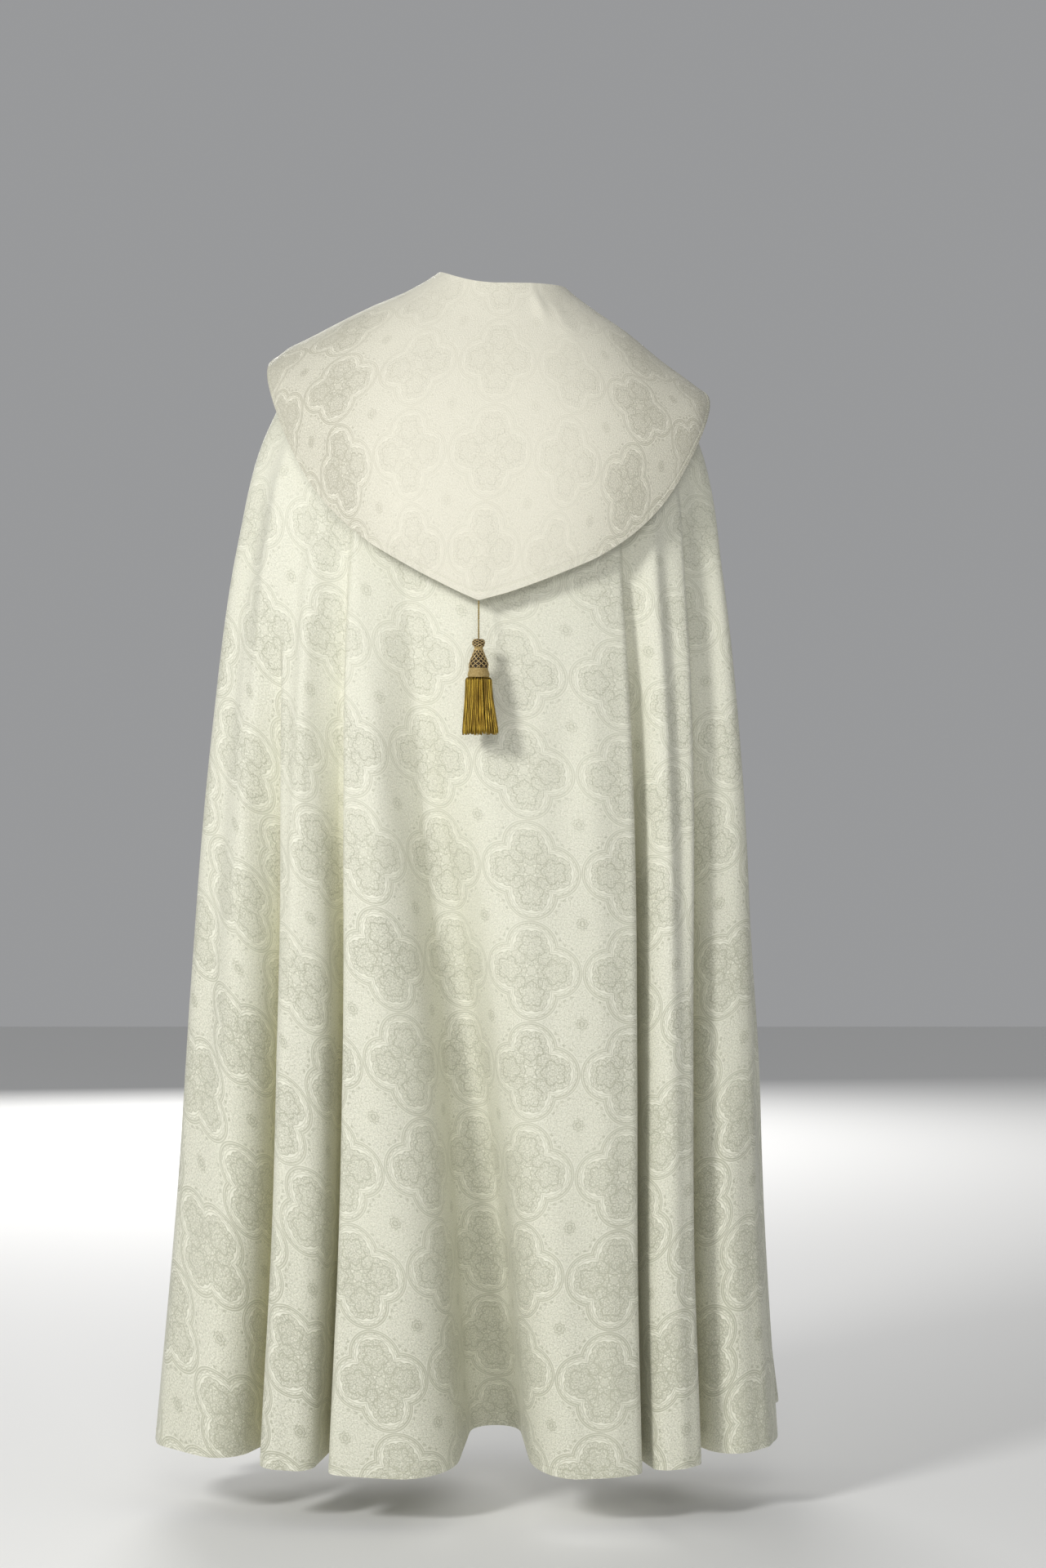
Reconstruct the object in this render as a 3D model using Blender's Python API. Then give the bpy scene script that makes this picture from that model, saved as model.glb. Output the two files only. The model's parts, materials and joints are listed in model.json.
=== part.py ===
"""A cope: the long open cloak of a priest, as worn, with its shield-shaped hood and a gold tassel.

Metres, +Z up. The wearer faces -Y and +X is the wearer's left. The origin is the middle of the neck
opening, level with the top edge of the cloth at the nape, where the shoulders carry the garment.
The cloak is a half-round cut of cloth. It is worked out as rings that start at the neck and run round
the body from one front edge to the other, and its pleats are folds carved into those rings.
"""

import math
from collections import namedtuple

import bpy
import numpy as np

# Cloth and sewing
CLOAK_WALL = 0.0018
HOOD_WALL = 0.0022
MORSE_WALL = 0.0030
SEAM_GAP = 0.0003

# The cloak's hanging form. A row is one ring: its distance down the back of the cloth from the neck,
# its reach to the wearer's left, right, back and front, and its height at those four places.
Ring = namedtuple("Ring", "down left right back front z_left z_right z_back z_front")
CLOAK_RINGS = (
    Ring(0.00, 0.078, 0.078, 0.066, 0.062, 0.020, 0.000, 0.000, -0.075),
    Ring(0.05, 0.117, 0.112, 0.088, 0.088, -0.006, -0.030, -0.045, -0.118),
    Ring(0.10, 0.160, 0.149, 0.111, 0.112, -0.028, -0.060, -0.090, -0.162),
    Ring(0.16, 0.210, 0.190, 0.132, 0.133, -0.060, -0.097, -0.146, -0.218),
    Ring(0.22, 0.254, 0.224, 0.146, 0.150, -0.104, -0.142, -0.204, -0.275),
    Ring(0.30, 0.291, 0.256, 0.154, 0.166, -0.170, -0.210, -0.284, -0.352),
    Ring(0.45, 0.328, 0.281, 0.158, 0.190, -0.313, -0.353, -0.434, -0.500),
    Ring(0.70, 0.363, 0.307, 0.160, 0.225, -0.563, -0.603, -0.684, -0.745),
    Ring(1.00, 0.389, 0.320, 0.163, 0.265, -0.865, -0.905, -0.984, -1.040),
    Ring(1.25, 0.408, 0.328, 0.168, 0.295, -1.145, -1.168, -1.234, -1.262),
    Ring(1.48, 0.434, 0.344, 0.176, 0.315, -1.433, -1.431, -1.457, -1.425),
)
PLAN_SQUARENESS = 0.92

# Pleats. Angles are in degrees round the form from the middle of the back, positive to the wearer's
# left, at the chest, at the knee and at the hem. A pleat starts at a distance down the cloth, and grows
# to its full depth at the hem. Its two flanks have their own widths. A negative depth is a flute that
# stands out. Rise is how far the hem is drawn up there. At their tops the flanks have shares of their
# full widths, top_left and top_right. Valleys and crests are arcs whose radius is a share of the width.
Fold = namedtuple("Fold", "name chest knee hem start depth left right top_left top_right power rise")
Stop = namedtuple("Stop", "down angle")
CHEST_DOWN, KNEE_DOWN = 0.35, 0.86
RISE_POWER = 4
VALLEY_ROUNDNESS, CREST_ROUNDNESS = 0.24, 0.68
FOLDS = (
    Fold("middle", 21.5, 8.5, 1.0, 0.30, 0.185, 0.112, 0.124, 0.55, 0.55, 1.15, 0.036),
    Fold("back_left", 36, 30.3, 28.7, 0.20, 0.190, 0.040, 0.024, 1.60, 0.60, 1.6, 0.022),
    Fold("side_left", 57, 47, 43.5, 0.46, 0.165, 0.080, 0.026, 0.80, 0.60, 1.15, 0.012),
    Fold("back_right", -32, -31, -29.5, 0.20, 0.190, 0.020, 0.032, 0.60, 1.50, 1.4, 0.010),
    Fold("side_right", -56, -49, -46, 0.24, 0.150, 0.022, 0.080, 0.60, 0.80, 1.2, 0.012),
    Fold("arm_left", 98, 102, 104, 0.45, 0.060, 0.050, 0.050, 0.55, 0.55, 1.2, 0.006),
    Fold("front_left", 128, 122, 120, 0.30, 0.120, 0.040, 0.040, 0.55, 0.55, 1.1, 0.010),
    Fold("breast_left", 150, 142, 138, 0.34, 0.120, 0.036, 0.036, 0.55, 0.55, 1.1, 0.012),
    Fold("arm_right", -98, -100, -102, 0.45, 0.060, 0.050, 0.050, 0.55, 0.55, 1.2, 0.006),
    Fold("flare_right", -112, -116, -119, 0.80, -0.060, 0.060, 0.060, 0.55, 0.55, 1.0, 0.010),
    Fold("front_right", -130, -136, -138, 0.30, 0.130, 0.040, 0.036, 0.55, 0.55, 1.1, 0.010),
    Fold("breast_right", -152, -154, -156, 0.36, 0.090, 0.030, 0.026, 0.55, 0.55, 1.1, 0.008),
)

# Half the gap between the two front edges, at a distance down the cloth
Gap = namedtuple("Gap", "down half")
FRONT_GAP = (Gap(0.0, 0.034), Gap(0.20, 0.030), Gap(0.70, 0.044), Gap(1.48, 0.074))

# Side seams run over the shoulders, at this share of the way from the back to a front edge
SEAM_SHARE = 0.53

# The cloth panels, and the places of the points on them. Columns gather where the cloth turns: a radian
# of turn counts as much as TURN_WEIGHT metres of cloth.
Panel = namedtuple("Panel", "name low high columns")
PANELS = (
    Panel("cloak_front_right", -1.0, -SEAM_SHARE, 44),
    Panel("cloak_back", -SEAM_SHARE, SEAM_SHARE, 78),
    Panel("cloak_front_left", SEAM_SHARE, 1.0, 40),
)
ROW_DOWNS = np.array([0, 0.03, 0.07, 0.11, 0.14, 0.17, 0.23, 0.31, 0.43, 0.58, 0.75, 0.93, 1.10, 1.26,
                      1.38, 1.48])
TURN_ROWS = 6
TURN_WEIGHT = 0.045
TURN_SAMPLES = 3001
NUDGE = 1e-4
SHARP_DEGREES = 40

# The hood's own form, one layer outside the cloak, and its outer edge: how far down it reaches at each
# angle from the middle of the back
HOOD_RINGS = (
    Ring(0.00, 0.0796, 0.0798, 0.0685, 0.0644, 0.0222, 0.0021, 0.0012, -0.0735),
    Ring(0.05, 0.1200, 0.1150, 0.0920, 0.0915, -0.0015, -0.0250, -0.0420, -0.1150),
    Ring(0.10, 0.1650, 0.1540, 0.1170, 0.1170, -0.0210, -0.0520, -0.0860, -0.1570),
    Ring(0.16, 0.2210, 0.1980, 0.1420, 0.1400, -0.0490, -0.0880, -0.1410, -0.2120),
    Ring(0.22, 0.2730, 0.2400, 0.1610, 0.1590, -0.0780, -0.1190, -0.1990, -0.2680),
    Ring(0.26, 0.2990, 0.2650, 0.1710, 0.1700, -0.0980, -0.1400, -0.2390, -0.3060),
    Ring(0.30, 0.3090, 0.2750, 0.1780, 0.1800, -0.1300, -0.1730, -0.2790, -0.3440),
    Ring(0.42, 0.3220, 0.2880, 0.1870, 0.1990, -0.2450, -0.2880, -0.3990, -0.4500),
)
HOOD_LEAN = 4.0     # degrees its point hangs to one side
HOOD_SEAT = 0.0008  # clearance over the cloak along the neck seam
HOOD_SEWN = 0.045   # how far down it lies on the cloak before it hangs free
HOOD_COLUMNS, HOOD_ROWS = 45, 13
Reach = namedtuple("Reach", "angle down")
HOOD_EDGE = (
    Reach(0, 0.418), Reach(8, 0.402), Reach(16, 0.390), Reach(28, 0.377), Reach(43, 0.352),
    Reach(60, 0.302), Reach(78, 0.256), Reach(92, 0.232), Reach(112, 0.180), Reach(134, 0.105),
    Reach(150, 0.020),
)

# The morse: the plain cloth tab that holds the two fronts together on the chest. It lies on these rows
# and columns of the front panels and bridges the gap with columns of its own.
MORSE_ROWS = (3, 5)
MORSE_COLUMNS = 4
MORSE_BRIDGE = 4

# The tassel, from its cord down. A row is a turned section of the head: height and radius.
TASSEL_CORD_LENGTH = 0.046
TASSEL_CORD_RADIUS = 0.0011
TASSEL_CORD_POINTS = 10
Turn = namedtuple("Turn", "down radius")
TASSEL_HEAD = (
    Turn(0.0000, 0.0022), Turn(0.0012, 0.0052), Turn(0.0052, 0.0071), Turn(0.0090, 0.0056),
    Turn(0.0108, 0.0042), Turn(0.0150, 0.0054), Turn(0.0250, 0.0088), Turn(0.0325, 0.0112),
    Turn(0.0342, 0.0104), Turn(0.0350, 0.0114), Turn(0.0460, 0.0117), Turn(0.0472, 0.0108),
)
TASSEL_SIDES = 20
TASSEL_OUT = 0.009
SKIRT_LENGTH = 0.0700
SKIRT_ROOT = 0.0010     # how far the strands reach up inside the head
SKIRT_UNEVEN = 0.03     # share of the length by which the shortest strand falls short
SKIRT_FALLS = (0.0, 0.16, 0.45, 1.0)
SPREAD_POWER, SIZE_POWER = 0.75, 0.5
Strands = namedtuple("Strands", "count root_radius end_radius root_size end_size")
STRAND_RINGS = (Strands(30, 0.0100, 0.0216, 0.0013, 0.0026), Strands(16, 0.0064, 0.0128, 0.0014, 0.0026))

CLOAK_COLOUR = (0.80, 0.79, 0.66, 1.0)
GOLD_COLOUR = (0.62, 0.44, 0.10, 1.0)


def smooth(rows, column, at):
    """A column of a table as a smooth curve of its first column, through every row."""
    knots = np.array([row[0] for row in rows], float)
    values = np.array([getattr(row, column) for row in rows], float)
    slopes = np.gradient(values, knots)
    at = np.clip(np.asarray(at, float), knots[0], knots[-1])
    i = np.clip(np.searchsorted(knots, at, side="right") - 1, 0, len(knots) - 2)
    step = knots[i + 1] - knots[i]
    t = (at - knots[i]) / step
    start, end = (1 + 2 * t) * (1 - t) ** 2, t * t * (3 - 2 * t)
    leave, arrive = t * (1 - t) ** 2 * step, t * t * (t - 1) * step
    return start * values[i] + end * values[i + 1] + leave * slopes[i] + arrive * slopes[i + 1]


def reaches(rings, angle, down):
    """The ring's reach to the side and to the back or front at an angle, and its height there."""
    to_left, to_back = np.sin(angle) >= 0, np.cos(angle) >= 0
    pick = {name: smooth(rings, name, down) for name in Ring._fields[1:]}
    wide = np.where(to_left, pick["left"], pick["right"])
    deep = np.where(to_back, pick["back"], pick["front"])
    at_side = np.where(to_left, pick["z_left"], pick["z_right"])
    at_middle = np.where(to_back, pick["z_back"], pick["z_front"])
    return wide, deep, np.sin(angle) ** 2 * at_side + np.cos(angle) ** 2 * at_middle


def form(rings, angle, down):
    """Points of the plain form, and their outward directions in plan."""
    wide, deep, height = reaches(rings, angle, down)
    side, back = np.sin(angle), np.cos(angle)
    x = wide * np.sign(side) * np.abs(side) ** PLAN_SQUARENESS
    y = deep * np.sign(back) * np.abs(back) ** PLAN_SQUARENESS
    out = np.stack([side / wide, back / deep, np.zeros_like(x)], axis=-1)
    out /= np.linalg.norm(out, axis=-1, keepdims=True)
    return np.stack([x, y, height], axis=-1), out


def plain(angle, down):
    """Points of the cloak's form without its folds."""
    return form(CLOAK_RINGS, angle, down)[0]


def outward(surface, first, second):
    """Unit normals of a surface at places given by its two measures."""
    along = surface(first + NUDGE, second) - surface(first - NUDGE, second)
    down = surface(first, second + NUDGE) - surface(first, second - NUDGE)
    across = np.cross(along, down)
    return across / np.linalg.norm(across, axis=-1, keepdims=True)


def faced(surface, first, second):
    """Points of a surface at a grid of its two measures, and their outward normals."""
    a, b = np.meshgrid(first, second, indexing="ij")
    return surface(a, b), outward(surface, a, b)


def fold_angle(fold, down):
    """Where a fold lies round the form, in radians, at a distance down the cloth."""
    hem_down = CLOAK_RINGS[-1].down
    stops = (Stop(CHEST_DOWN, fold.chest), Stop(KNEE_DOWN, fold.knee), Stop(hem_down, fold.hem))
    return np.radians(smooth(stops, "angle", down))


def flank(off, width, depth):
    """How deep a pleat is at a distance from its middle: an arc, a straight flank and an arc."""
    low, high = VALLEY_ROUNDNESS * width, CREST_ROUNDNESS * width
    over = low + high - depth
    slope = np.arcsin((low + high) / np.hypot(width, over)) - np.arctan2(over, width)
    off = np.minimum(off, width)
    start, end = low * np.sin(slope), width - high * np.sin(slope)
    near = low - np.sqrt(np.maximum(low**2 - off**2, 0))
    far = depth - high + np.sqrt(np.maximum(high**2 - (width - off) ** 2, 0))
    straight = low * (1 - np.cos(slope)) + (off - start) * np.tan(slope)
    return depth - np.where(off < start, near, np.where(off > end, far, straight))


def cloak(angle, down):
    """Points of the cloak's outer face: the form with its folds."""
    points, _ = form(CLOAK_RINGS, angle, down)
    hem_down = CLOAK_RINGS[-1].down
    for fold in FOLDS:
        grown = np.clip((down - fold.start) / (hem_down - fold.start), 0, 1)
        middle = fold_angle(fold, down)
        wide, deep, _ = reaches(CLOAK_RINGS, middle, down)
        across = (angle - middle) * np.hypot(wide * np.cos(middle), deep * np.sin(middle))
        left = fold.left * (fold.top_left * (1 - grown) + grown)
        right = fold.right * (fold.top_right * (1 - grown) + grown)
        width = np.where(across > 0, left, right)
        depth = abs(fold.depth) * grown**fold.power
        shape = flank(np.abs(across), width, np.maximum(depth, 1e-9))
        _, out = form(CLOAK_RINGS, middle, down)
        points = points - out * (math.copysign(1, fold.depth) * shape)[..., None]
        points[..., 2] += fold.rise * grown**RISE_POWER * shape / abs(fold.depth)
    return points


def edge_angle(down):
    """The angle of a front edge, which lies half the gap from the middle."""
    half = smooth(FRONT_GAP, "half", down)
    narrow = np.minimum(smooth(CLOAK_RINGS, "left", down), smooth(CLOAK_RINGS, "right", down))
    return math.pi - np.arcsin((half / narrow) ** (1 / PLAN_SQUARENESS))


def cloak_at(share, down):
    """The cloak at shares from -1, the right front edge, to 1, the left one, following the folds."""
    edge, hem_edge = edge_angle(down), edge_angle(CLOAK_RINGS[-1].down)
    order = sorted(FOLDS, key=lambda fold: fold.hem)
    homes = [-1.0, *(math.radians(fold.hem) / hem_edge for fold in order), 1.0]
    places = [-edge, *(fold_angle(fold, down) for fold in order), edge]
    angle = places[0]
    for low, high, start, end in zip(homes, homes[1:], places, places[1:]):
        angle = angle + np.clip((share - low) / (high - low), 0, 1) * (end - start)
    return cloak(angle, down)


def spread_shares(low, high, count, downs):
    """Column places between two shares, closer together where the folds turn sharply."""
    fine = np.linspace(low, high, TURN_SAMPLES)
    need = np.zeros(len(fine))
    for down in downs:
        line = cloak_at(fine, np.full(len(fine), down))
        step = np.diff(line, axis=0)
        length = np.linalg.norm(step, axis=1)
        heading = np.unwrap(np.arctan2(step[:, 1], step[:, 0]))
        turn = np.abs(np.gradient(heading))
        need[1:] = np.maximum(need[1:], length + TURN_WEIGHT * turn)
    travelled = np.cumsum(need)
    return np.interp(np.linspace(travelled[0], travelled[-1], count), travelled, fine)


def material(name, colour, roughness, metallic=0.0):
    """A plain finish."""
    made = bpy.data.materials.new(name)
    made.use_nodes = True
    shader = made.node_tree.nodes["Principled BSDF"]
    shader.inputs["Base Color"].default_value = colour
    shader.inputs["Roughness"].default_value = roughness
    shader.inputs["Metallic"].default_value = metallic
    return made


def add_object(name, vertices, faces, finish):
    """A named mesh in the scene, shaded smooth up to its sharp edges."""
    mesh = bpy.data.meshes.new(name)
    mesh.from_pydata([tuple(v) for v in vertices], [], faces)
    mesh.validate()
    mesh.shade_smooth()
    mesh.set_sharp_from_angle(angle=math.radians(SHARP_DEGREES))
    mesh.materials.append(finish)
    made = bpy.data.objects.new(name, mesh)
    bpy.context.scene.collection.objects.link(made)
    return made


def wall(name, outer, facing, thickness, finish):
    """A closed sheet: the outer grid, the same grid moved in by the thickness, and the rim."""
    across, deep = outer.shape[:2]
    inner = outer - facing * thickness
    count = across * deep
    number = np.arange(count).reshape(across, deep)
    faces = []
    for i in range(across - 1):
        for j in range(deep - 1):
            a, b, c, d = number[i, j], number[i + 1, j], number[i + 1, j + 1], number[i, j + 1]
            faces += [(a, b, c), (a, c, d)]
            faces += [(a + count, c + count, b + count), (a + count, d + count, c + count)]
    border = [*number[:, 0], *number[-1, 1:], *number[-2::-1, -1], *number[0, -2:0:-1]]
    for a, b in zip(border, border[1:] + border[:1]):
        if a < b:
            faces += [(a, b + count, b), (a, a + count, b + count)]
        else:
            faces += [(a, a + count, b), (b, a + count, b + count)]
    faces = [tuple(int(v) for v in face) for face in faces]
    return add_object(name, np.concatenate([outer.reshape(-1, 3), inner.reshape(-1, 3)]), faces, finish)


def draw_back(grid, end, distance):
    """Moves a panel's end column along the cloth, away from its neighbour at the seam."""
    inward = grid[1] - grid[0] if end == 0 else grid[-2] - grid[-1]
    inward /= np.linalg.norm(inward, axis=-1, keepdims=True)
    grid[end] += inward * distance


def cloak_panels(finish):
    """The back and the two fronts, from neck to hem."""
    made = {}
    for panel in PANELS:
        shares = spread_shares(panel.low, panel.high, panel.columns, ROW_DOWNS[-TURN_ROWS:])
        grid, facing = faced(cloak_at, shares, ROW_DOWNS)
        if panel.low > -1:
            draw_back(grid, 0, SEAM_GAP / 2)
        if panel.high < 1:
            draw_back(grid, -1, SEAM_GAP / 2)
        wall(panel.name, grid, facing, CLOAK_WALL, finish)
        made[panel.name] = (grid, facing)
    return made


def hood_at(share, fall):
    """The hood's outer face, across from end to end and down from its neck seam to its edge."""
    degrees = share * HOOD_EDGE[-1].angle
    down = smooth(HOOD_EDGE, "down", np.abs(degrees)) * fall
    lean = HOOD_LEAN * (down / HOOD_EDGE[0].down) * np.cos(np.radians(degrees)).clip(0, 1)
    angle = np.radians(degrees + lean)
    free = np.clip(down / HOOD_SEWN, 0, 1)[..., None]
    free = free * free * (3 - 2 * free)
    sewn = plain(angle, down) + outward(plain, angle, down) * (HOOD_WALL + HOOD_SEAT)
    return sewn * (1 - free) + form(HOOD_RINGS, angle, down)[0] * free


def morse(left, right, finish):
    """The tab lies on the points of the two front edges, moved out, and bridges the gap between them."""
    rows = slice(MORSE_ROWS[0], MORSE_ROWS[1] + 1)
    lift = SEAM_GAP + MORSE_WALL
    ends = [(grid[cols, rows], facing[cols, rows]) for (grid, facing), cols in
            ((left, slice(-MORSE_COLUMNS, None)), (right, slice(0, MORSE_COLUMNS)))]
    (points, faces), (onward, onward_faces) = ends
    share = np.linspace(0, 1, MORSE_BRIDGE + 2)[1:-1, None, None]
    bridge = points[-1] * (1 - share) + onward[0] * share
    bridge_faces = faces[-1] * (1 - share) + onward_faces[0] * share
    grid = np.concatenate([points, bridge, onward])
    facing = np.concatenate([faces, bridge_faces, onward_faces])
    facing /= np.linalg.norm(facing, axis=-1, keepdims=True)
    wall("morse", grid + facing * lift, facing, MORSE_WALL, finish)


def tube(name, path, radius, finish):
    """A round cord along a path, as a curve with closed ends."""
    curve = bpy.data.curves.new(name, "CURVE")
    curve.dimensions = "3D"
    curve.bevel_depth = radius
    curve.bevel_resolution = 2
    curve.use_fill_caps = True
    line = curve.splines.new("POLY")
    line.points.add(len(path) - 1)
    for point, place in zip(line.points, path):
        point.co = (*place, 1.0)
    curve.materials.append(finish)
    made = bpy.data.objects.new(name, curve)
    bpy.context.scene.collection.objects.link(made)
    return made


def turned(top):
    """The tassel's head: rings of points round its axis, closed at both ends."""
    turn = np.linspace(0, 2 * math.pi, TASSEL_SIDES, endpoint=False)
    rings = [top + np.stack([row.radius * np.cos(turn), row.radius * np.sin(turn),
                             np.full(TASSEL_SIDES, -row.down)], axis=-1) for row in TASSEL_HEAD]
    faces = [tuple(range(TASSEL_SIDES))]
    for i in range(len(rings) - 1):
        for k in range(TASSEL_SIDES):
            a, b = i * TASSEL_SIDES + k, i * TASSEL_SIDES + (k + 1) % TASSEL_SIDES
            faces.append((a, a + TASSEL_SIDES, b + TASSEL_SIDES, b))
    faces.append(tuple(reversed(range((len(rings) - 1) * TASSEL_SIDES, len(rings) * TASSEL_SIDES))))
    return np.concatenate(rings), faces


def skirt(top):
    """The hanging strands: four-sided, apart from one another, with their roots inside the head."""
    vertices, faces = [], []
    start = TASSEL_HEAD[-1].down - SKIRT_ROOT
    for ring in STRAND_RINGS:
        for k in range(ring.count):
            turn = 2 * math.pi * k / ring.count
            out = np.array([math.cos(turn), math.sin(turn), 0.0])
            along = np.array([-out[1], out[0], 0.0])
            length = SKIRT_LENGTH * (1 - SKIRT_UNEVEN * (k * 7 % 5) / 4)
            first = len(vertices)
            for fall in SKIRT_FALLS:
                radius = ring.root_radius + (ring.end_radius - ring.root_radius) * fall**SPREAD_POWER
                half = (ring.root_size + (ring.end_size - ring.root_size) * fall**SIZE_POWER) / 2
                centre = top + out * radius - np.array([0, 0, start + length * fall])
                vertices += [centre + out * half * a + along * half * b
                             for a, b in ((-1, -1), (1, -1), (1, 1), (-1, 1))]
            faces.append((first, first + 1, first + 2, first + 3))
            for i in range(len(SKIRT_FALLS) - 1):
                low = first + 4 * i
                faces += [(low + c, low + 4 + c, low + 4 + (c + 1) % 4, low + (c + 1) % 4)
                          for c in range(4)]
            last = first + 4 * (len(SKIRT_FALLS) - 1)
            faces.append((last + 3, last + 2, last + 1, last))
    return vertices, faces


def tassel(tip, finish):
    """The cord from the hood's point, and the tassel with its strands joined into its head."""
    start = tip - np.array([0, 0, SEAM_GAP])
    end = start + np.array([0, TASSEL_OUT, -TASSEL_CORD_LENGTH])
    steps = np.linspace(0, 1, TASSEL_CORD_POINTS)[:, None]
    tube("tassel_cord", start * (1 - steps) + end * steps, TASSEL_CORD_RADIUS, finish)
    top = end - np.array([0, 0, SEAM_GAP])
    head = add_object("tassel", *turned(top), finish)
    strands = add_object("strands", *skirt(top), finish)
    join = head.modifiers.new("join", "BOOLEAN")
    join.operation = "UNION"
    join.solver = "EXACT"
    join.object = strands
    joined = bpy.data.meshes.new_from_object(head.evaluated_get(bpy.context.evaluated_depsgraph_get()))
    head.modifiers.clear()
    head.data = joined
    bpy.data.objects.remove(strands)


def main():
    """Builds every piece of the garment."""
    for old in list(bpy.data.objects):
        bpy.data.objects.remove(old)
    damask = material("ivory_damask", CLOAK_COLOUR, 0.5)
    panels = cloak_panels(damask)
    points, facing = faced(hood_at, np.linspace(-1, 1, HOOD_COLUMNS), np.linspace(0, 1, HOOD_ROWS))
    wall("hood", points, facing, HOOD_WALL, damask)
    tip = points[len(points) // 2, -1] - facing[len(points) // 2, -1] * HOOD_WALL / 2
    tassel(tip, material("old_gold", GOLD_COLOUR, 0.35, 0.6))
    morse(panels["cloak_front_left"], panels["cloak_front_right"], damask)


main()
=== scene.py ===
"""The looks of the cope: cloth with its pleats, creases and damask, stitched hems, and a gold tassel."""

import json
import math
from collections import namedtuple

import bpy
import numpy as np
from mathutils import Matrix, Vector

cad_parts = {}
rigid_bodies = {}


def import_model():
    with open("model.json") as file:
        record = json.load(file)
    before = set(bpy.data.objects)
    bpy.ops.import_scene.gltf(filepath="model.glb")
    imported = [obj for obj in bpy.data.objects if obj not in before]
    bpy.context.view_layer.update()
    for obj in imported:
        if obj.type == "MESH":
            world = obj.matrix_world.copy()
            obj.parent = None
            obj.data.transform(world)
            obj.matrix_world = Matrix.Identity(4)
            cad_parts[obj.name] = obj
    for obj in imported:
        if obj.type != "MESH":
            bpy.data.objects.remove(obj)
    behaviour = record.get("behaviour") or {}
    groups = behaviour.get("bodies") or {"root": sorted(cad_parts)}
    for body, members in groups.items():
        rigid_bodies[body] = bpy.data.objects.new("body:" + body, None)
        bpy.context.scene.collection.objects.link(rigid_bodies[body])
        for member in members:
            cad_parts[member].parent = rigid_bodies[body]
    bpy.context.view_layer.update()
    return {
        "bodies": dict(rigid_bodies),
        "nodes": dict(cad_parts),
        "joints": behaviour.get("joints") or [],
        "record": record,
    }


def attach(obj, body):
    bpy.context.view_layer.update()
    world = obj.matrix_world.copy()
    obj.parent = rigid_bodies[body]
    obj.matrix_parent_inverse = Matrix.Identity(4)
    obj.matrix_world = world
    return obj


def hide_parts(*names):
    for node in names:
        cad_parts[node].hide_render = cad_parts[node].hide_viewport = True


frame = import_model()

# The camera is level, behind the wearer and at the middle of the photograph's height
PHOTO_WIDTH, PHOTO_HEIGHT = 1281, 1920
CAMERA_AT = (-0.0255, 4.60, -0.617)
LENS = 84.375
SENSOR = 36.0

# The studio: lamps that all point at the middle of the garment, the light from all round, and the floor
Lamp = namedtuple("Lamp", "name place size power colour")
LAMPS = (
    Lamp("key", (2.5, 3.4, 1.3), 1.0, 112.0, (1.0, 0.995, 0.98)),
    Lamp("front", (-0.2, 4.9, 0.7), 1.4, 44.0, (1.0, 0.995, 0.98)),
    Lamp("far_side", (0.9, -5.6, 0.9), 3.0, 170.0, (1.0, 0.99, 0.98)),
)
LAMPS_AIM = (0, 0, -0.75)
STUDIO_COLOUR, STUDIO_STRENGTH = (0.93, 0.94, 0.96), 0.34
FLOOR_Z, FLOOR_REACH = -1.515, 9
FLOOR_COLOUR, FLOOR_ROUGHNESS = (0.80, 0.80, 0.79), 0.75

# Cloth: its thickness, the gap in a seam, the hem's width and how much thicker the hem is turned, and
# the half-round cut's radii at the neck and at the hem
CLOAK_SHEET = 0.0010
HOOD_SHEET = 0.0014
SEAM_GAP = 0.0003
HEM_WIDTH = 0.009
HEM_TURNED = 0.0007
NECK_RADIUS = 0.13
HEM_RADIUS = 1.60
SHARP_DEGREES = 50

# The cloak's hanging form. A row is one ring: its distance down the cloth from the neck, its reach to
# the wearer's left, right, back and front, and its height at those four places.
Ring = namedtuple("Ring", "down left right back front z_left z_right z_back z_front")
CLOAK_RINGS = (
    Ring(0.00, 0.078, 0.078, 0.066, 0.062, 0.020, 0.000, 0.000, -0.075),
    Ring(0.05, 0.117, 0.112, 0.088, 0.088, -0.006, -0.030, -0.045, -0.118),
    Ring(0.10, 0.160, 0.149, 0.111, 0.112, -0.028, -0.060, -0.090, -0.162),
    Ring(0.16, 0.210, 0.190, 0.132, 0.133, -0.060, -0.097, -0.146, -0.218),
    Ring(0.22, 0.254, 0.224, 0.146, 0.150, -0.104, -0.142, -0.204, -0.275),
    Ring(0.30, 0.291, 0.256, 0.154, 0.166, -0.170, -0.210, -0.284, -0.352),
    Ring(0.45, 0.328, 0.281, 0.158, 0.190, -0.313, -0.353, -0.434, -0.500),
    Ring(0.70, 0.363, 0.307, 0.160, 0.225, -0.563, -0.603, -0.684, -0.745),
    Ring(1.00, 0.389, 0.320, 0.163, 0.265, -0.865, -0.905, -0.984, -1.040),
    Ring(1.25, 0.408, 0.328, 0.168, 0.295, -1.145, -1.168, -1.234, -1.262),
    Ring(1.48, 0.434, 0.344, 0.176, 0.315, -1.433, -1.431, -1.457, -1.425),
)
PLAN_SQUARENESS = 0.92
HEM_DOWN = CLOAK_RINGS[-1].down

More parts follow.
